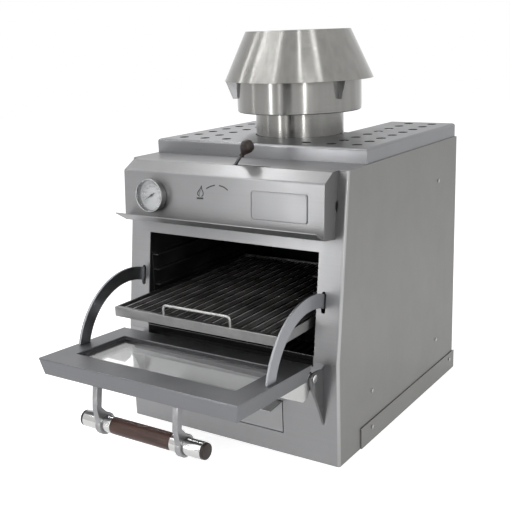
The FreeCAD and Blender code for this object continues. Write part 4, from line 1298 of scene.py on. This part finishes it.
@dataclass
class Cover:
    """Perforated cover."""

    vent_radius: float = 10.6 * MM
    pitch_across: float = 57.5 * MM
    pitch_along: float = 54.6 * MM
    edge_offset: float = 42.0 * MM
    front_offset: float = 41.0 * MM
    rows: int = 8
    drill: float = 20.0 * MM
    edge: float = 0.4 * MM
    border: float = 12.0 * MM
    hollow: float = 4.0 * MM

    def build(self) -> None:
        """Dress the cover, round its vents and paint shade black on its underside and on the faces inside it."""
        low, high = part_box("top_cover")
        half = (high.x - low.x) / 2 - self.edge_offset
        mesh = mesh_alone(solid_copy("top_cover"))
        tree = Pattern("cover_vents", radius=self.vent_radius, across=self.pitch_across, along=self.pitch_along,
                       half=half, start=low.y + self.front_offset, level=high.z, rows=self.rows)
        drill = tree.add("GeometryNodeMeshCylinder", {"Vertices": 32, "Radius": tree.size("radius"),
                                                      "Depth": self.drill})
        spots = tree.add("GeometryNodeJoinGeometry")
        for side in (-1.0, 1.0):
            for column, rows in ((0.0, tree.size("rows")), (1.0, tree.size("rows")), (2.0, 1)):
                place = tree.sums("MULTIPLY", tree.sums("SUBTRACT", tree.size("half"),
                                                        tree.sums("MULTIPLY", tree.size("across"), column)), side)
                row = tree.row(rows, tree.vector(place, tree.size("start"), tree.size("level")),
                               tree.vector(0.0, tree.size("along"), 0.0))
                tree.links.new(row, spots.inputs["Geometry"])
        drills = tree.add("GeometryNodeRealizeInstances", {
            "Geometry": tree.copies(spots.outputs[0], drill.outputs["Mesh"])})
        cut = tree.add("GeometryNodeMeshBoolean", {"Mesh 1": tree.source.outputs["Geometry"],
                                                   "Mesh 2": drills.outputs[0]}, operation="DIFFERENCE")
        piece = tree.bake("top_cover_vented", cut.outputs["Mesh"], FINISHES.cover, mesh)
        tidy(piece.data, 2e-6, flat=True)
        paint(rounded(piece, self.edge), FINISHES.cover)
        # Painted shade: the downward faces and the faces inside the hollow cover take the black finish.
        faced(piece, FINISHES.soot, lambda face: face.normal.z < -0.9 or (
            face.normal.z < 0.5 and abs(face.center.x) < half + 2 * self.vent_radius
            and low.y + self.border < face.center.y < high.y - self.border
            and face.center.z > high.z - self.hollow))
        fit(piece, Body.OVEN, "casing_steel", "top_cover")


@dataclass
class Hood:
    """Hood, blank plate and the signs beside the lever."""

    low: float = 454.0 * MM
    high: float = 558.4 * MM
    low_out: float = 10.7 * MM
    high_out: float = 4.6 * MM
    ink_height: float = 0.15 * MM
    plate_half: float = 27.5 * MM
    plate_corner: float = 5.0 * MM
    plate_level: float = 0.55

    @property
    def lean(self) -> float:
        """Lean of the hood's face."""
        return math.atan((self.low_out - self.high_out) / (self.high - self.low))

    @property
    def foot(self) -> Vector:
        """Middle of the face's lower edge."""
        return Vector((0.0, FRONT - self.low_out, self.low))

    @property
    def up(self) -> Vector:
        """Direction up the hood's face."""
        return Vector((0.0, math.sin(self.lean), math.cos(self.lean)))

    @property
    def out(self) -> Vector:
        """Direction out of the hood's face."""
        return RIGHTWARDS.cross(self.up)

    def build(self) -> None:
        """Dress the hood and its plate, and set the signs on it."""
        # Painted shade: the hood's sideways end faces take the darker finish.
        faced(dress("hood", Body.OVEN, "casing_steel", FINISHES.face, 0.8 * MM), FINISHES.end,
              lambda face: abs(face.normal.x) > 0.8)
        dress("nameplate", Body.OVEN, "casing_steel", FINISHES.plate, 0.4 * MM)
        self.plate_rim()
        self.signs()

    def mark(self, name: str, outline: Sequence[tuple[float, float]]) -> bpy.types.Object:
        """Thin ink shape on the face.

        Args:
            name: name of the piece.
            outline: x across and height up the face, in millimetres.

        Returns:
            The object.
        """
        return slab(name, [(x * MM, y * MM) for x, y in outline], self.foot, RIGHTWARDS, self.up,
                    self.ink_height)

    def stroke(self, name: str, path: Sequence[tuple[float, float]], width: float) -> bpy.types.Object:
        """Ink line of an even width along a smoothed path.

        Args:
            name: name of the piece.
            path: x across and height up the face of its corners, in millimetres.
            width: width of the line in millimetres.

        Returns:
            The object.
        """
        line = bent([Vector((x, y)) for x, y in path], 5.0, 5)
        sides: tuple[list[tuple[float, float]], list[tuple[float, float]]] = ([], [])
        for index, point in enumerate(line):
            ahead = line[min(index + 1, len(line) - 1)] - line[max(index - 1, 0)]
            normal = Vector((-ahead.y, ahead.x)).normalized() * width / 2
            for side, outline in zip((1, -1), sides):
                outline.append((point.x + side * normal.x, point.y + side * normal.y))
        return self.mark(name, sides[0] + sides[1][::-1])

    def signs(self) -> None:
        """Flame sign for open and two dashes of the lever's arc."""
        strokes = (
            ("flame_left", 2.1, ((-42.5, 62.6), (-48.6, 66.4), (-45.6, 72.5), (-40.5, 77.5), (-37.4, 84.0))),
            ("flame_right", 2.1, ((-37.6, 84.0), (-37.4, 77.0), (-33.4, 71.0), (-34.2, 65.0), (-38.0, 62.4))),
            ("flame_tongue", 1.0, ((-43.6, 64.6), (-43.4, 68.6), (-40.4, 74.6))),
            ("flame_base", 3.6, ((-49.6, 58.4), (-33.6, 58.9))),
            ("arc_left", 2.4, ((-26.2, 78.9), (-15.9, 84.2), (-4.9, 87.0))),
            ("arc_right", 2.4, ((5.0, 87.2), (16.9, 84.8), (25.6, 79.3))))
        dark = [self.stroke(name, path, width) for name, width, path in strokes]
        fit(paint(joined("lever_signs", dark), FINISHES.ink), Body.OVEN, "needle_paint")

    def plate_rim(self) -> None:
        """Raised rim round the blank plate."""
        low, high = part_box("nameplate")
        middle = (low + high) / 2
        half_x, corner = (high.x - low.x) / 2, self.plate_corner
        loops = []
        for inset, lift in ((0.6, 0.0), (0.6, 0.5), (1.0, 0.8), (1.9, 0.8), (2.3, 0.5), (2.3, 0.0)):
            x, y = half_x - inset * MM, self.plate_half - inset * MM
            flat = softened([(-x, -y, corner), (x, -y, corner), (x, y, corner), (-x, y, corner)], 6)
            loops.append([middle + RIGHTWARDS * a + self.up * b + self.out * (self.plate_level + lift) * MM
                          for a, b in flat])
        piece = shape("nameplate_rim", [point for loop in loops for point in loop],
                      torus_faces(len(loops), len(loops[0])))
        smooth(piece, 50)
        fit(paint(piece, FINISHES.plate), Body.OVEN, "casing_steel")


@dataclass
class Thermometer:
    """Dial thermometer on the hood."""

    hood: Hood
    across: float = -160.0 * MM
    height: float = 57.0 * MM
    radius: float = 35.0 * MM
    depth: float = 18.0 * MM
    rim: float = 3.5 * MM
    bore: float = 1.6 * MM
    waist: float = 1.2 * MM
    dial_level: float = 5.0 * MM
    card: float = 1.0 * MM
    first: float = -135.0
    last: float = 135.0
    tick_count: int = 46
    tick_radius: float = 24.5 * MM
    tick_length: float = 2.6 * MM
    tick_width: float = 0.55 * MM
    number_radius: float = 18.2 * MM
    number_size: float = 4.4 * MM
    numbers: tuple[int, ...] = (50, 100, 150, 200, 250, 300, 350, 400, 450, 500)
    needle_level: float = 7.2 * MM
    needle_turn: float = -122.0

    @property
    def centre(self) -> Vector:
        """Middle of the dial on the hood's face."""
        return self.hood.foot + RIGHTWARDS * self.across + self.hood.up * self.height

    def turned(self, name: str, profile: Sequence[tuple[float, float]], steps: int, finish: object, slot: str,
               node: str) -> None:
        """One turned piece on the dial's axis.

        Args:
            name: name of the piece.
            profile: radius and height of each point, in metres.
            steps: divisions round the axis.
            finish: its finish.
            slot: its material slot.
            node: node that it stands for.
        """
        piece = lathe(name, profile, self.centre, self.hood.out, steps)
        fit(paint(piece, finish), Body.OVEN, slot, node)

    def build(self) -> None:
        """Build the case, dial, scale, needle and lens."""
        inner, back = self.radius - self.rim, self.dial_level - self.card
        barrel = self.radius - self.waist
        self.turned("gauge_bezel", softened([
            (self.bore, 0, 0), (self.radius - 2 * MM, 0, 0), (barrel, 1.2 * MM, 0.5 * MM),
            (barrel, 11 * MM, 0.6 * MM), (self.radius, 12 * MM, 0.6 * MM), (self.radius, self.depth, 1.6 * MM),
            (inner, self.depth, 1.0 * MM), (inner, back, 0), (self.bore, back, 0)], 5), 96, FINISHES.bezel,
            "polished_steel", "gauge_case")
        self.turned("gauge_dial_card", [(self.bore, back), (inner, back), (inner, self.dial_level),
                                        (self.bore, self.dial_level)], 72, FINISHES.dial, "dial_card", "gauge_dial")
        self.scale()
        self.needle()
        low, high, edge = self.depth - 3.0 * MM, self.depth - 1.0 * MM, inner - 0.1 * MM
        self.turned("gauge_window", softened([(0, low, 0), (edge, low, 0.3 * MM), (edge, high, 0.3 * MM),
                                              (0, high, 0)]), 72, FINISHES.lens, "clear_glass", "gauge_lens")
        finish_node("gauge_stem", FINISHES.bright)

    def spot(self, turn: float, radius: float, level: float) -> Vector:
        """Point over the dial.

        Args:
            turn: clockwise turn from the top in degrees.
            radius: distance from the middle.
            level: height over the hood's face.

        Returns:
            The point.
        """
        angle = math.radians(turn)
        return (self.centre + RIGHTWARDS * math.sin(angle) * radius + self.hood.up * math.cos(angle) * radius
                + self.hood.out * level)

    def scale(self) -> None:
        """Ticks by rule, and plain numbers."""
        tree = Pattern("dial_ticks", count=self.tick_count, radius=self.tick_radius, long=self.tick_length,
                       wide=self.tick_width, start=math.radians(self.first),
                       sweep=math.radians(self.last - self.first))
        line = tree.add("GeometryNodeMeshLine", {"Count": tree.size("count")})
        index = tree.add("GeometryNodeInputIndex").outputs[0]
        share = tree.sums("DIVIDE", index, tree.sums("SUBTRACT", tree.size("count"), 1.0))
        turn = tree.sums("ADD", tree.size("start"), tree.sums("MULTIPLY", tree.size("sweep"), share))
        tenth = tree.sums("LESS_THAN", tree.sums("FLOORED_MODULO", tree.sums("ADD", index, 0.5), 5.0), 1.0)
        place = tree.vector(tree.sums("MULTIPLY", tree.sums("SINE", turn), tree.size("radius")), 0.0,
                            tree.sums("MULTIPLY", tree.sums("COSINE", turn), tree.size("radius")))
        spots = tree.add("GeometryNodeSetPosition", {"Geometry": line.outputs["Mesh"], "Position": place})
        box = tree.add("GeometryNodeMeshCube", {"Size": tree.vector(tree.size("wide"), 0.12 * MM,
                                                                    tree.size("long"))})
        stretch = tree.vector(tree.sums("ADD", 1.0, tree.sums("MULTIPLY", tenth, 0.5)), 1.0,
                              tree.sums("ADD", 1.0, tree.sums("MULTIPLY", tenth, 0.8)))
        copies = tree.add("GeometryNodeInstanceOnPoints", {
            "Points": spots.outputs[0], "Instance": box.outputs["Mesh"], "Rotation": tree.vector(0.0, turn, 0.0),
            "Scale": stretch})
        ticks = tree.bake("dial_ticks", copies.outputs[0], FINISHES.ink)
        onto_dial = Matrix((RIGHTWARDS, -self.hood.out, self.hood.up)).transposed().to_4x4()
        onto_dial.translation = self.centre + self.hood.out * (self.dial_level + 0.06 * MM)
        ticks.data.transform(onto_dial)
        pieces = [ticks]
        for order, number in enumerate(self.numbers):
            turn_by = self.first + (self.last - self.first) * order / (len(self.numbers) - 1)
            pieces.append(self.label(str(number), self.spot(turn_by, self.number_radius,
                                                            self.dial_level + 0.02 * MM)))
        fit(joined("dial_scale", pieces), Body.OVEN, "needle_paint")

    def label(self, text: str, spot: Vector) -> bpy.types.Object:
        """Flat lettering on the dial.

        Args:
            text: what it reads.
            spot: middle of the text.

        Returns:
            The object.
        """
        name = "dial_number_" + text
        curve = bpy.data.curves.new(name, "FONT")
        curve.body = text
        curve.size = self.number_size
        curve.align_x = "CENTER"
        curve.align_y = "CENTER"
        curve.extrude = 0.05 * MM
        curve.resolution_u = 2
        mesh = curve_mesh(curve)
        place = Matrix((RIGHTWARDS, self.hood.up, self.hood.out)).transposed().to_4x4()
        place.translation = spot
        mesh.transform(place)
        return paint(mesh_object(name, mesh), FINISHES.ink)

    def needle(self) -> None:
        """Tapered needle with a hub."""
        level, tip = self.needle_level, math.radians(self.needle_turn)
        along = RIGHTWARDS * math.sin(tip) + self.hood.up * math.cos(tip)
        side = along.cross(self.hood.out)
        blade = slab("needle_blade", softened([
            (24 * MM, 0, 0.2 * MM), (4 * MM, 1.3 * MM, 0.4 * MM), (-5 * MM, 1.0 * MM, 0.3 * MM),
            (-9 * MM, 1.6 * MM, 0.4 * MM), (-9 * MM, -1.6 * MM, 0.4 * MM), (-5 * MM, -1.0 * MM, 0.3 * MM),
            (4 * MM, -1.3 * MM, 0.4 * MM)]), self.centre + self.hood.out * level, along, -side, 0.6 * MM)
        hub = lathe("needle_hub", softened([(0, 2.4 * MM, 0), (1.4 * MM, 2.4 * MM, 0), (1.4 * MM, level, 0),
                                            (3.0 * MM, level, 0.2 * MM), (2.6 * MM, level + 1.4 * MM, 0.5 * MM),
                                            (0, level + 1.4 * MM, 0)]), self.centre, self.hood.out, 32)
        fit(paint(joined("needle_with_hub", [blade, hub]), FINISHES.ink), Body.NEEDLE, "needle_paint",
            "gauge_needle")


@dataclass
class Chimney:
    """Flue, collar, cone and struts. All sizes but the centre are in millimetres."""

    centre: Vector = field(default_factory=lambda: Vector((0.0, 20.0 * MM, 0.0)))
    flue_radius: float = 97.0
    wall: float = 1.5
    flue_foot: float = 553.0
    flue_top: float = 745.0
    collar_radius: float = 136.5
    collar_low: float = 658.0
    collar_high: float = 750.0
    cone_low_radius: float = 163.0
    cone_high_radius: float = 114.5
    cone_low: float = 725.0
    cone_high: float = 829.0
    collar_play: float = 0.1
    cone_inset: float = 0.2
    steps: int = 144

    def turned(self, name: str, node: str, corners: Sequence[tuple[float, float, float]]) -> None:
        """One rolled piece.

        Args:
            name: name of the piece.
            node: node that it stands for.
            corners: radius, height and rounding of each corner, in millimetres.
        """
        profile = [(x * MM, y * MM) for x, y in softened(corners, 5)]
        piece = lathe(name, profile, self.centre, UPWARDS, self.steps)
        fit(paint(piece, FINISHES.rolled), Body.OVEN, "polished_steel", node)

    def build(self) -> None:
        """Build the chimney."""
        bore = self.flue_radius - self.wall
        self.turned("flue_tube", "flue_pipe", [
            (bore, self.flue_foot, 0.3), (self.flue_radius, self.flue_foot, 0.3),
            (self.flue_radius, self.flue_top, 0.6), (bore, self.flue_top, 0.6)])
        inner, hole = self.collar_radius - self.wall, self.flue_radius + self.collar_play
        self.turned("collar_ring", "flue_collar", [
            (hole, self.collar_low, 0), (self.collar_radius, self.collar_low, 2.5),
            (self.collar_radius, self.collar_high, 0.6), (inner, self.collar_high, 0.6),
            (inner, self.collar_low + self.wall, 1.5), (hole, self.collar_low + self.wall, 0)])
        self.turned("cone_sheet", "cowl_cone", [
            (self.cone_low_radius - self.wall, self.cone_low, 0.5),
            (self.cone_low_radius - self.cone_inset, self.cone_low, 0.5),
            (self.cone_high_radius - self.cone_inset, self.cone_high, 0.6),
            (self.cone_high_radius - self.wall, self.cone_high, 0.6)])
        dress("cowl_brackets", Body.OVEN, "polished_steel", FINISHES.satin, 0.4 * MM)


@dataclass
class Chamber:
    """Blackened chamber, fire bed, insulation and guides."""

    edge: float = 0.5 * MM

    def build(self) -> None:
        """Dress the inside."""
        finish_node("chamber_liner", FINISHES.soot)
        for node in ("left_rack_guide", "right_rack_guide"):
            dress(node, Body.OVEN, "sooty_steel", FINISHES.soot, self.edge)
        dress("fire_tray", Body.OVEN, "sooty_steel", FINISHES.soot, 0.8 * MM)
        dress("charcoal_grate", Body.OVEN, "cast_iron", FINISHES.iron, 1.2 * MM)
        for node in ("left_insulation", "right_insulation", "back_insulation", "top_insulation"):
            finish_node(node, FINISHES.board)


@dataclass
class Rack:
    """Cooking rack of V-shaped bars."""

    count: int = 17
    pitch: float = 22.0 * MM
    width: float = 15.0 * MM
    height: float = 9.0 * MM
    sheet: float = 1.4 * MM
    lip: float = 2.3 * MM
    weld_count: int = 6
    weld_radius: float = 1.9 * MM
    weld_place: float = -185.0 * MM
    weld_drop: float = 0.8 * MM
    wire_radius: float = 2.95 * MM
    wire_bend: float = 9.0 * MM

    def build(self) -> None:
        """Build the frame, the bars, their welds and the handle."""
        dress("rack_frame", Body.RACK, "drawer_steel", FINISHES.rack, 0.8 * MM)
        dress("rack_cross_bars", Body.RACK, "sooty_steel", FINISHES.bars, 0.5 * MM)
        self.bars()
        self.welds()
        self.handle()

    def welds(self) -> None:
        """Small weld dots on every second bar, over the front cross bar."""
        _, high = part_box("rack_bars")
        tree = Pattern("weld_dots", count=self.weld_count, pitch=2 * self.pitch, radius=self.weld_radius)
        start = tree.sums("SUBTRACT", tree.sums("MULTIPLY", tree.size("pitch"), -2.5), self.width / 2 - self.lip)
        row = tree.row(tree.size("count"), tree.vector(start, self.weld_place, high.z - self.weld_drop),
                       tree.vector(tree.size("pitch"), 0.0, 0.0))
        dot = tree.add("GeometryNodeMeshIcoSphere", {"Radius": tree.size("radius"), "Subdivisions": 2})
        piece = tree.bake("rack_weld_dots", tree.copies(row, dot.outputs["Mesh"]), FINISHES.bright)
        smooth(piece, 80)
        fit(piece, Body.RACK, "drawer_steel")

    def bars(self) -> None:
        """V-shaped bars by rule."""
        low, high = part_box("rack_bars")
        half, rise, sheet = self.width / 2, self.height, self.sheet
        outline = softened([
            (0.0, 0.0, 1.6 * MM), (half, rise - 1.2 * MM, 0.4 * MM), (half - 0.3 * MM, rise, 0.6 * MM),
            (half - self.lip, rise, 0.6 * MM), (0.0, sheet * 1.5, 1.0 * MM), (-half + self.lip, rise, 0.6 * MM),
            (-half + 0.3 * MM, rise, 0.6 * MM), (-half, rise - 1.2 * MM, 0.4 * MM)], 3)
        mesh = mesh_alone(slab("bar_profile", outline, Vector((0.0, high.y, 0.0)), RIGHTWARDS, UPWARDS,
                               high.y - low.y))
        tree = Pattern("rack_bars_by_rule", count=self.count, pitch=self.pitch, level=low.z)
        start = tree.sums("MULTIPLY", tree.sums("MULTIPLY", tree.sums("SUBTRACT", tree.size("count"), 1.0),
                                                tree.size("pitch")), -0.5)
        row = tree.row(tree.size("count"), tree.vector(start, 0.0, tree.size("level")),
                       tree.vector(tree.size("pitch"), 0.0, 0.0))
        copies = tree.copies(row, tree.source.outputs["Geometry"])
        piece = tree.bake("rack_bars_folded", copies, FINISHES.bars, mesh)
        tidy(piece.data)
        smooth(piece, 40)
        # Painted highlight: the top faces of each bar's left lip take the pale lip finish.
        faced(piece, FINISHES.lip, lambda face: face.center.z > low.z + rise - 1.5 * MM and (
            (face.center.x + self.pitch / 2) % self.pitch - self.pitch / 2 < -half + self.lip + 0.2 * MM))
        fit(piece, Body.RACK, "sooty_steel", "rack_bars")

    def handle(self) -> None:
        """Bent wire handle."""
        low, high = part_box("rack_handle")
        radius, y, foot = self.wire_radius, (low.y + high.y) / 2, low.z + 0.1 * MM
        left, right = low.x + radius + 0.2 * MM, high.x - radius - 0.2 * MM
        path = bent([Vector((left, y, foot)), Vector((left, y, high.z - radius)),
                     Vector((right, y, high.z - radius)), Vector((right, y, foot))], self.wire_bend, 8)
        fit(paint(wire("rack_handle_wire", path, radius), FINISHES.wire), Body.RACK, "drawer_steel",
            "rack_handle")


@dataclass
class AshDrawer:
    """Ash drawer and its runners."""

    def build(self) -> None:
        """Dress the drawer."""
        front = dress("ash_drawer_front", Body.DRAWER, "drawer_steel", FINISHES.drawer, 0.7 * MM)
        # Painted light: the drawer front's upward faces, the top of its lip, take the paler finish.
        faced(front, FINISHES.pull, lambda face: face.normal.z > 0.2)
        # Painted shade: the front's right edge is painted black so that the gap beside it reads dark.
        faced(front, FINISHES.soot, lambda face: face.normal.x > 0.9)
        # The box is dark for ash stain and for painted shade, so the gaps round the front read dark.
        dress("ash_drawer_box", Body.DRAWER, "drawer_steel", FINISHES.ash, 0.5 * MM)
        dress("ash_drawer_runners", Body.OVEN, "plain_steel", FINISHES.plain, 0.4 * MM)


@dataclass
class Door:
    """Drop-down door with its window, stays, hinges and handle."""

    axis: Vector = field(default_factory=lambda: Vector((0.0, -336.0 * MM, 194.0 * MM)))
    tilt: float = math.radians(3.2)
    grip_along: float = 225.8 * MM
    grip_drop: float = 81.2 * MM
    grip_radius: float = 16.0 * MM
    grip_half: float = 144.0 * MM
    grip_play: float = 0.05 * MM
    core: float = 6.05 * MM
    cap: float = 6.0 * MM
    wood_half: float = 70.0 * MM

    def spot(self, x: float, along: float, lift: float) -> Vector:
        """Point in the open door's frame.

        Args:
            x: across.
            along: distance out from the hinge.
            lift: height over the plane of the hinge.

        Returns:
            The point.
        """
        turn, rise = math.cos(self.tilt), math.sin(self.tilt)
        return self.axis + Vector((x, -along * turn + lift * rise, along * rise + lift * turn))

    def build(self) -> None:
        """Dress the door."""
        dress("door_outer_shell", Body.DOOR, "door_steel", FINISHES.door, 1.4 * MM)
        dress("door_inner_panel", Body.DOOR, "door_steel", FINISHES.door, 0.6 * MM)
        dress("door_gasket", Body.DOOR, "seal", FINISHES.seal, 2.0 * MM)
        dress("door_glass", Body.DOOR, "clear_glass", FINISHES.glass, 0.4 * MM)
        dress("door_glass_frame", Body.DOOR, "plain_steel", FINISHES.plain, 0.4 * MM)
        for side in ("left", "right"):
            dress(side + "_door_stay", Body.DOOR, "door_steel", FINISHES.stay, 0.7 * MM)
            dress(side + "_hinge_arm", Body.DOOR, "polished_steel", FINISHES.bright, 0.5 * MM)
            dress(side + "_handle_bracket", Body.DOOR, "polished_steel", FINISHES.satin, 1.2 * MM)
            # The fins take the darker finish, a painted shade.
            dress(side + "_hinge_fin", Body.OVEN, "casing_steel", FINISHES.fin, 0.6 * MM)
        dress("hinge_pins", Body.OVEN, "screw_steel", FINISHES.bright, 0.5 * MM)
        self.handle()

    def handle(self) -> None:
        """Turned wood grip, bright sleeves and wood caps."""
        centre = self.spot(0.0, self.grip_along, -self.grip_drop)
        radius, core, wood = self.grip_radius - self.grip_play, self.core, self.wood_half
        slim = radius - 0.6 * MM
        grip = lathe("grip_wood", softened([
            (core, -wood, 0), (slim, -wood, 0.6 * MM), (radius, -wood + 6 * MM, 2 * MM),
            (radius, wood - 6 * MM, 2 * MM), (slim, wood, 0.6 * MM), (core, wood, 0)]), centre, RIGHTWARDS, 72)
        fit(paint(grip, FINISHES.wood), Body.DOOR, "dark_wood", "handle_grip")
        sleeves, caps = [], []
        end, button = self.grip_half - self.cap, radius - 0.8 * MM
        for side in (-1.0, 1.0):
            sleeves.append(lathe("sleeve", softened([
                (core, side * wood, 0), (radius, side * wood, 0.8 * MM), (radius, side * end, 0.8 * MM),
                (core, side * end, 0)]), centre, RIGHTWARDS, 72))
            caps.append(lathe("cap", softened([
                (0, side * end, 0), (button, side * end, 0.3 * MM), (button, side * self.grip_half, 2.2 * MM),
                (0, side * self.grip_half, 0)]), centre, RIGHTWARDS, 72))
        fit(paint(joined("grip_sleeves", sleeves), FINISHES.bright), Body.DOOR, "polished_steel",
            "handle_sleeves")
        fit(paint(joined("grip_caps", caps), FINISHES.knob), Body.DOOR, "dark_wood", "handle_end_caps")
        finish_node("handle_core", FINISHES.plain)


@dataclass
class Damper:
    """Slide over the flue outlet, its lever and knob."""

    knob_length: float = 40.0 * MM
    knob_radius: float = 13.9 * MM
    knob_steps: int = 24
    lever_half: float = 3.0 * MM

    def build(self) -> None:
        """Dress the damper."""
        finish_node("damper_plate", FINISHES.plain)
        finish_node("damper_guides", FINISHES.plain)
        finish_node("damper_lever", FINISHES.lever)
        self.knob()

    def knob(self) -> None:
        """Egg-shaped wood knob along the lever."""
        low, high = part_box("damper_lever")
        foot = Vector((low.x + self.lever_half, (low.y + high.y) / 2, low.z))
        along = (Vector((high.x - self.lever_half, foot.y, high.z)) - foot).normalized()
        low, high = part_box("damper_knob")
        half = self.knob_length / 2
        profile = [(0.0, -half)]
        for step in range(1, self.knob_steps):
            part = step / self.knob_steps
            swell = math.sin(math.pi * part ** 1.6) ** 0.7
            neck = 0.42 * (1 - part) ** 2
            profile.append((self.knob_radius * min(1.0, max(swell, neck)), -half + self.knob_length * part))
        profile.append((0.0, half))
        piece = lathe("knob_turned", profile, (low + high) / 2, along, 48)
        smooth(piece, 80)
        fit(paint(piece, FINISHES.knob), Body.DAMPER, "dark_wood", "damper_knob")


@dataclass
class Studio:
    """Pale floor, lamps, dark card, white surround and the camera."""

    place: Vector = field(default_factory=lambda: Vector((0.98817, -1.66211, 0.82948)))
    yaw: float = math.radians(33.67)
    pitch: float = math.radians(-14.41)
    roll: float = math.radians(-2.03)
    lens: float = 61.487
    flue_behind: float = 0.02
    flue_level: float = 0.75
    floor_radius: float = 8.0
    floor_sides: int = 96
    floor_seen: float = 0.55
    floor_mirrored: float = 0.4

    def build(self) -> None:
        """Set up the studio, with narrow lamps round the flue."""
        self.camera()
        self.floor()
        self.world()
        self.lamp("key_box", (-1.6, -2.4, 3.2), (0.0, 0.0, 0.35), (2.2, 1.6), 17.0)
        self.lamp("fill_box", (2.2, -2.3, 1.9), (0.0, -0.3, 0.3), (1.2, 1.2), 20.0)
        self.lamp("hood_box", (-1.2, 0.62, 2.35), (0.0, -0.28, 0.57), (0.4, 0.5), 7.0)
        for name, turn, height, width, length, power in (
                ("strip_left", -112.0, 0.75, 0.12, 1.2, 5.0), ("strip_front", -50.0, 0.75, 0.12, 1.2, 5.0),
                ("strip_thin", -95.0, 0.7, 0.04, 1.0, 0.7), ("strip_side", -150.0, 0.7, 0.04, 1.0, 0.6),
                ("high_back", -165.0, 1.82, 0.05, 1.1, 2.2), ("high_left", -144.0, 2.19, 0.07, 1.1, 3.0),
                ("high_middle", -104.0, 2.64, 0.05, 1.1, 1.7), ("high_front", -57.0, 2.93, 0.11, 1.1, 3.2),
                ("high_right", -22.0, 2.71, 0.22, 1.1, 3.6)):
            away = math.radians(turn)
            reach = 2.2 if height < 1.0 else 1.8
            self.lamp(name, (reach * math.cos(away), reach * math.sin(away) + self.flue_behind, height),
                      (0.0, self.flue_behind, self.flue_level), (width, length), power)
        self.card()

    def card(self) -> None:
        """Dark card beside the camera, which the camera itself doesn't see."""
        middle = Vector((0.4, -2.3, 0.85))
        across = Vector((0.98, 0.17, 0.0))
        piece = slab("grey_card", [(-0.36, -0.55), (0.3, -0.55), (0.3, 0.45), (-0.36, 0.45)], middle, across,
                     UPWARDS, 4 * MM)
        bench = Bench("card_felt")
        tone = bench.noise(bench.place(), 90.0, 3.0)
        bench.set(Base_Color=bench.tint(tone, (0.02, 0.02, 0.02), (0.035, 0.035, 0.035)), Roughness=0.95,
                  Specular_IOR_Level=0.1)
        piece.data.materials.append(bench.material)
        piece.visible_camera = False

    def camera(self) -> None:
        """Camera at the photograph's place."""
        ahead = Vector((-math.sin(self.yaw) * math.cos(self.pitch), math.cos(self.yaw) * math.cos(self.pitch),
                        math.sin(self.pitch)))
        right = Vector((math.cos(self.yaw), math.sin(self.yaw), 0.0))
        up = right.cross(ahead)
        turned = right * math.cos(self.roll) + up * math.sin(self.roll)
        upright = up * math.cos(self.roll) - right * math.sin(self.roll)
        data = bpy.data.cameras.new("camera")
        data.sensor_width = 36.0
        data.lens = self.lens
        data.clip_start = 0.05
        data.clip_end = 60.0
        camera = bpy.data.objects.new("camera", data)
        bpy.context.scene.collection.objects.link(camera)
        matrix = Matrix((turned, upright, -ahead)).transposed().to_4x4()
        matrix.translation = self.place
        camera.matrix_world = matrix
        bpy.context.scene.camera = camera

    def floor(self) -> None:
        """Pale floor that glows for the rays that show it, and for no others."""
        turns = [2 * math.pi * step / self.floor_sides for step in range(self.floor_sides)]
        ring = [(self.floor_radius * math.cos(turn), self.floor_radius * math.sin(turn)) for turn in turns]
        piece = slab("floor", ring, Vector((0.0, 0.0, -0.0105)), RIGHTWARDS, Vector((0.0, 1.0, 0.0)), 0.0103)
        bench = Bench("floor_paper")
        bench.set(Base_Color=(0.9, 0.9, 0.9, 1.0), Roughness=0.9, Specular_IOR_Level=0.1)
        rays = bench.add("ShaderNodeLightPath").outputs
        seen = bench.sums("MULTIPLY", self.floor_seen, bench.sums("MAXIMUM", rays["Is Camera Ray"],
                                                                  rays["Is Transmission Ray"]))
        mirrored = bench.sums("MULTIPLY", self.floor_mirrored, rays["Is Glossy Ray"])
        bench.set(Emission_Color=WHITE, Emission_Strength=bench.sums("MAXIMUM", seen, mirrored))
        piece.data.materials.append(bench.material)

    def world(self) -> None:
        """White surround for what is seen, soft grey light for the rest."""
        world = bpy.data.worlds.new("surround")
        bpy.context.scene.world = world
        world.use_nodes = True
        tree = Tree(world.node_tree)
        tree.nodes.clear()
        light = tree.add("ShaderNodeBackground", {"Color": (0.97, 0.98, 1.0, 1.0), "Strength": 0.62})
        seen = tree.add("ShaderNodeBackground", {"Color": WHITE, "Strength": 1.0})
        rays = tree.add("ShaderNodeLightPath").outputs
        shown = tree.sums("MAXIMUM", rays["Is Camera Ray"],
                          tree.sums("MAXIMUM", rays["Is Glossy Ray"], rays["Is Transmission Ray"]))
        mix = tree.add("ShaderNodeMixShader", {0: shown, 1: light.outputs[0], 2: seen.outputs[0]})
        tree.add("ShaderNodeOutputWorld", {"Surface": mix.outputs[0]})

    def lamp(self, name: str, place: Sequence[float], target: Sequence[float], size: Sequence[float],
             power: float) -> None:
        """Soft box.

        Args:
            name: name of the lamp.
            place: where it stands.
            target: what it points at.
            size: its width and height.
            power: its power in watts.
        """
        data = bpy.data.lights.new(name, "AREA")
        data.shape = "RECTANGLE"
        data.size, data.size_y = size
        data.energy = power
        lamp = bpy.data.objects.new(name, data)
        bpy.context.scene.collection.objects.link(lamp)
        lamp.location = place
        lamp.rotation_euler = (Vector(target) - Vector(place)).to_track_quat("-Z", "Y").to_euler()
        lamp.visible_camera = False


def main() -> None:
    """Build the scene in order."""
    logging.basicConfig(level=logging.INFO, format="%(message)s")
    bpy.context.scene.view_settings.view_transform = "Standard"
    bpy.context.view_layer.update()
    Studio().build()
    Casing().build()
    Cover().build()
    hood = Hood()
    hood.build()
    Thermometer(hood).build()
    Chimney().build()
    Chamber().build()
    Rack().build()
    AshDrawer().build()
    Door().build()
    Damper().build()


if __name__ == "__main__":
    main()
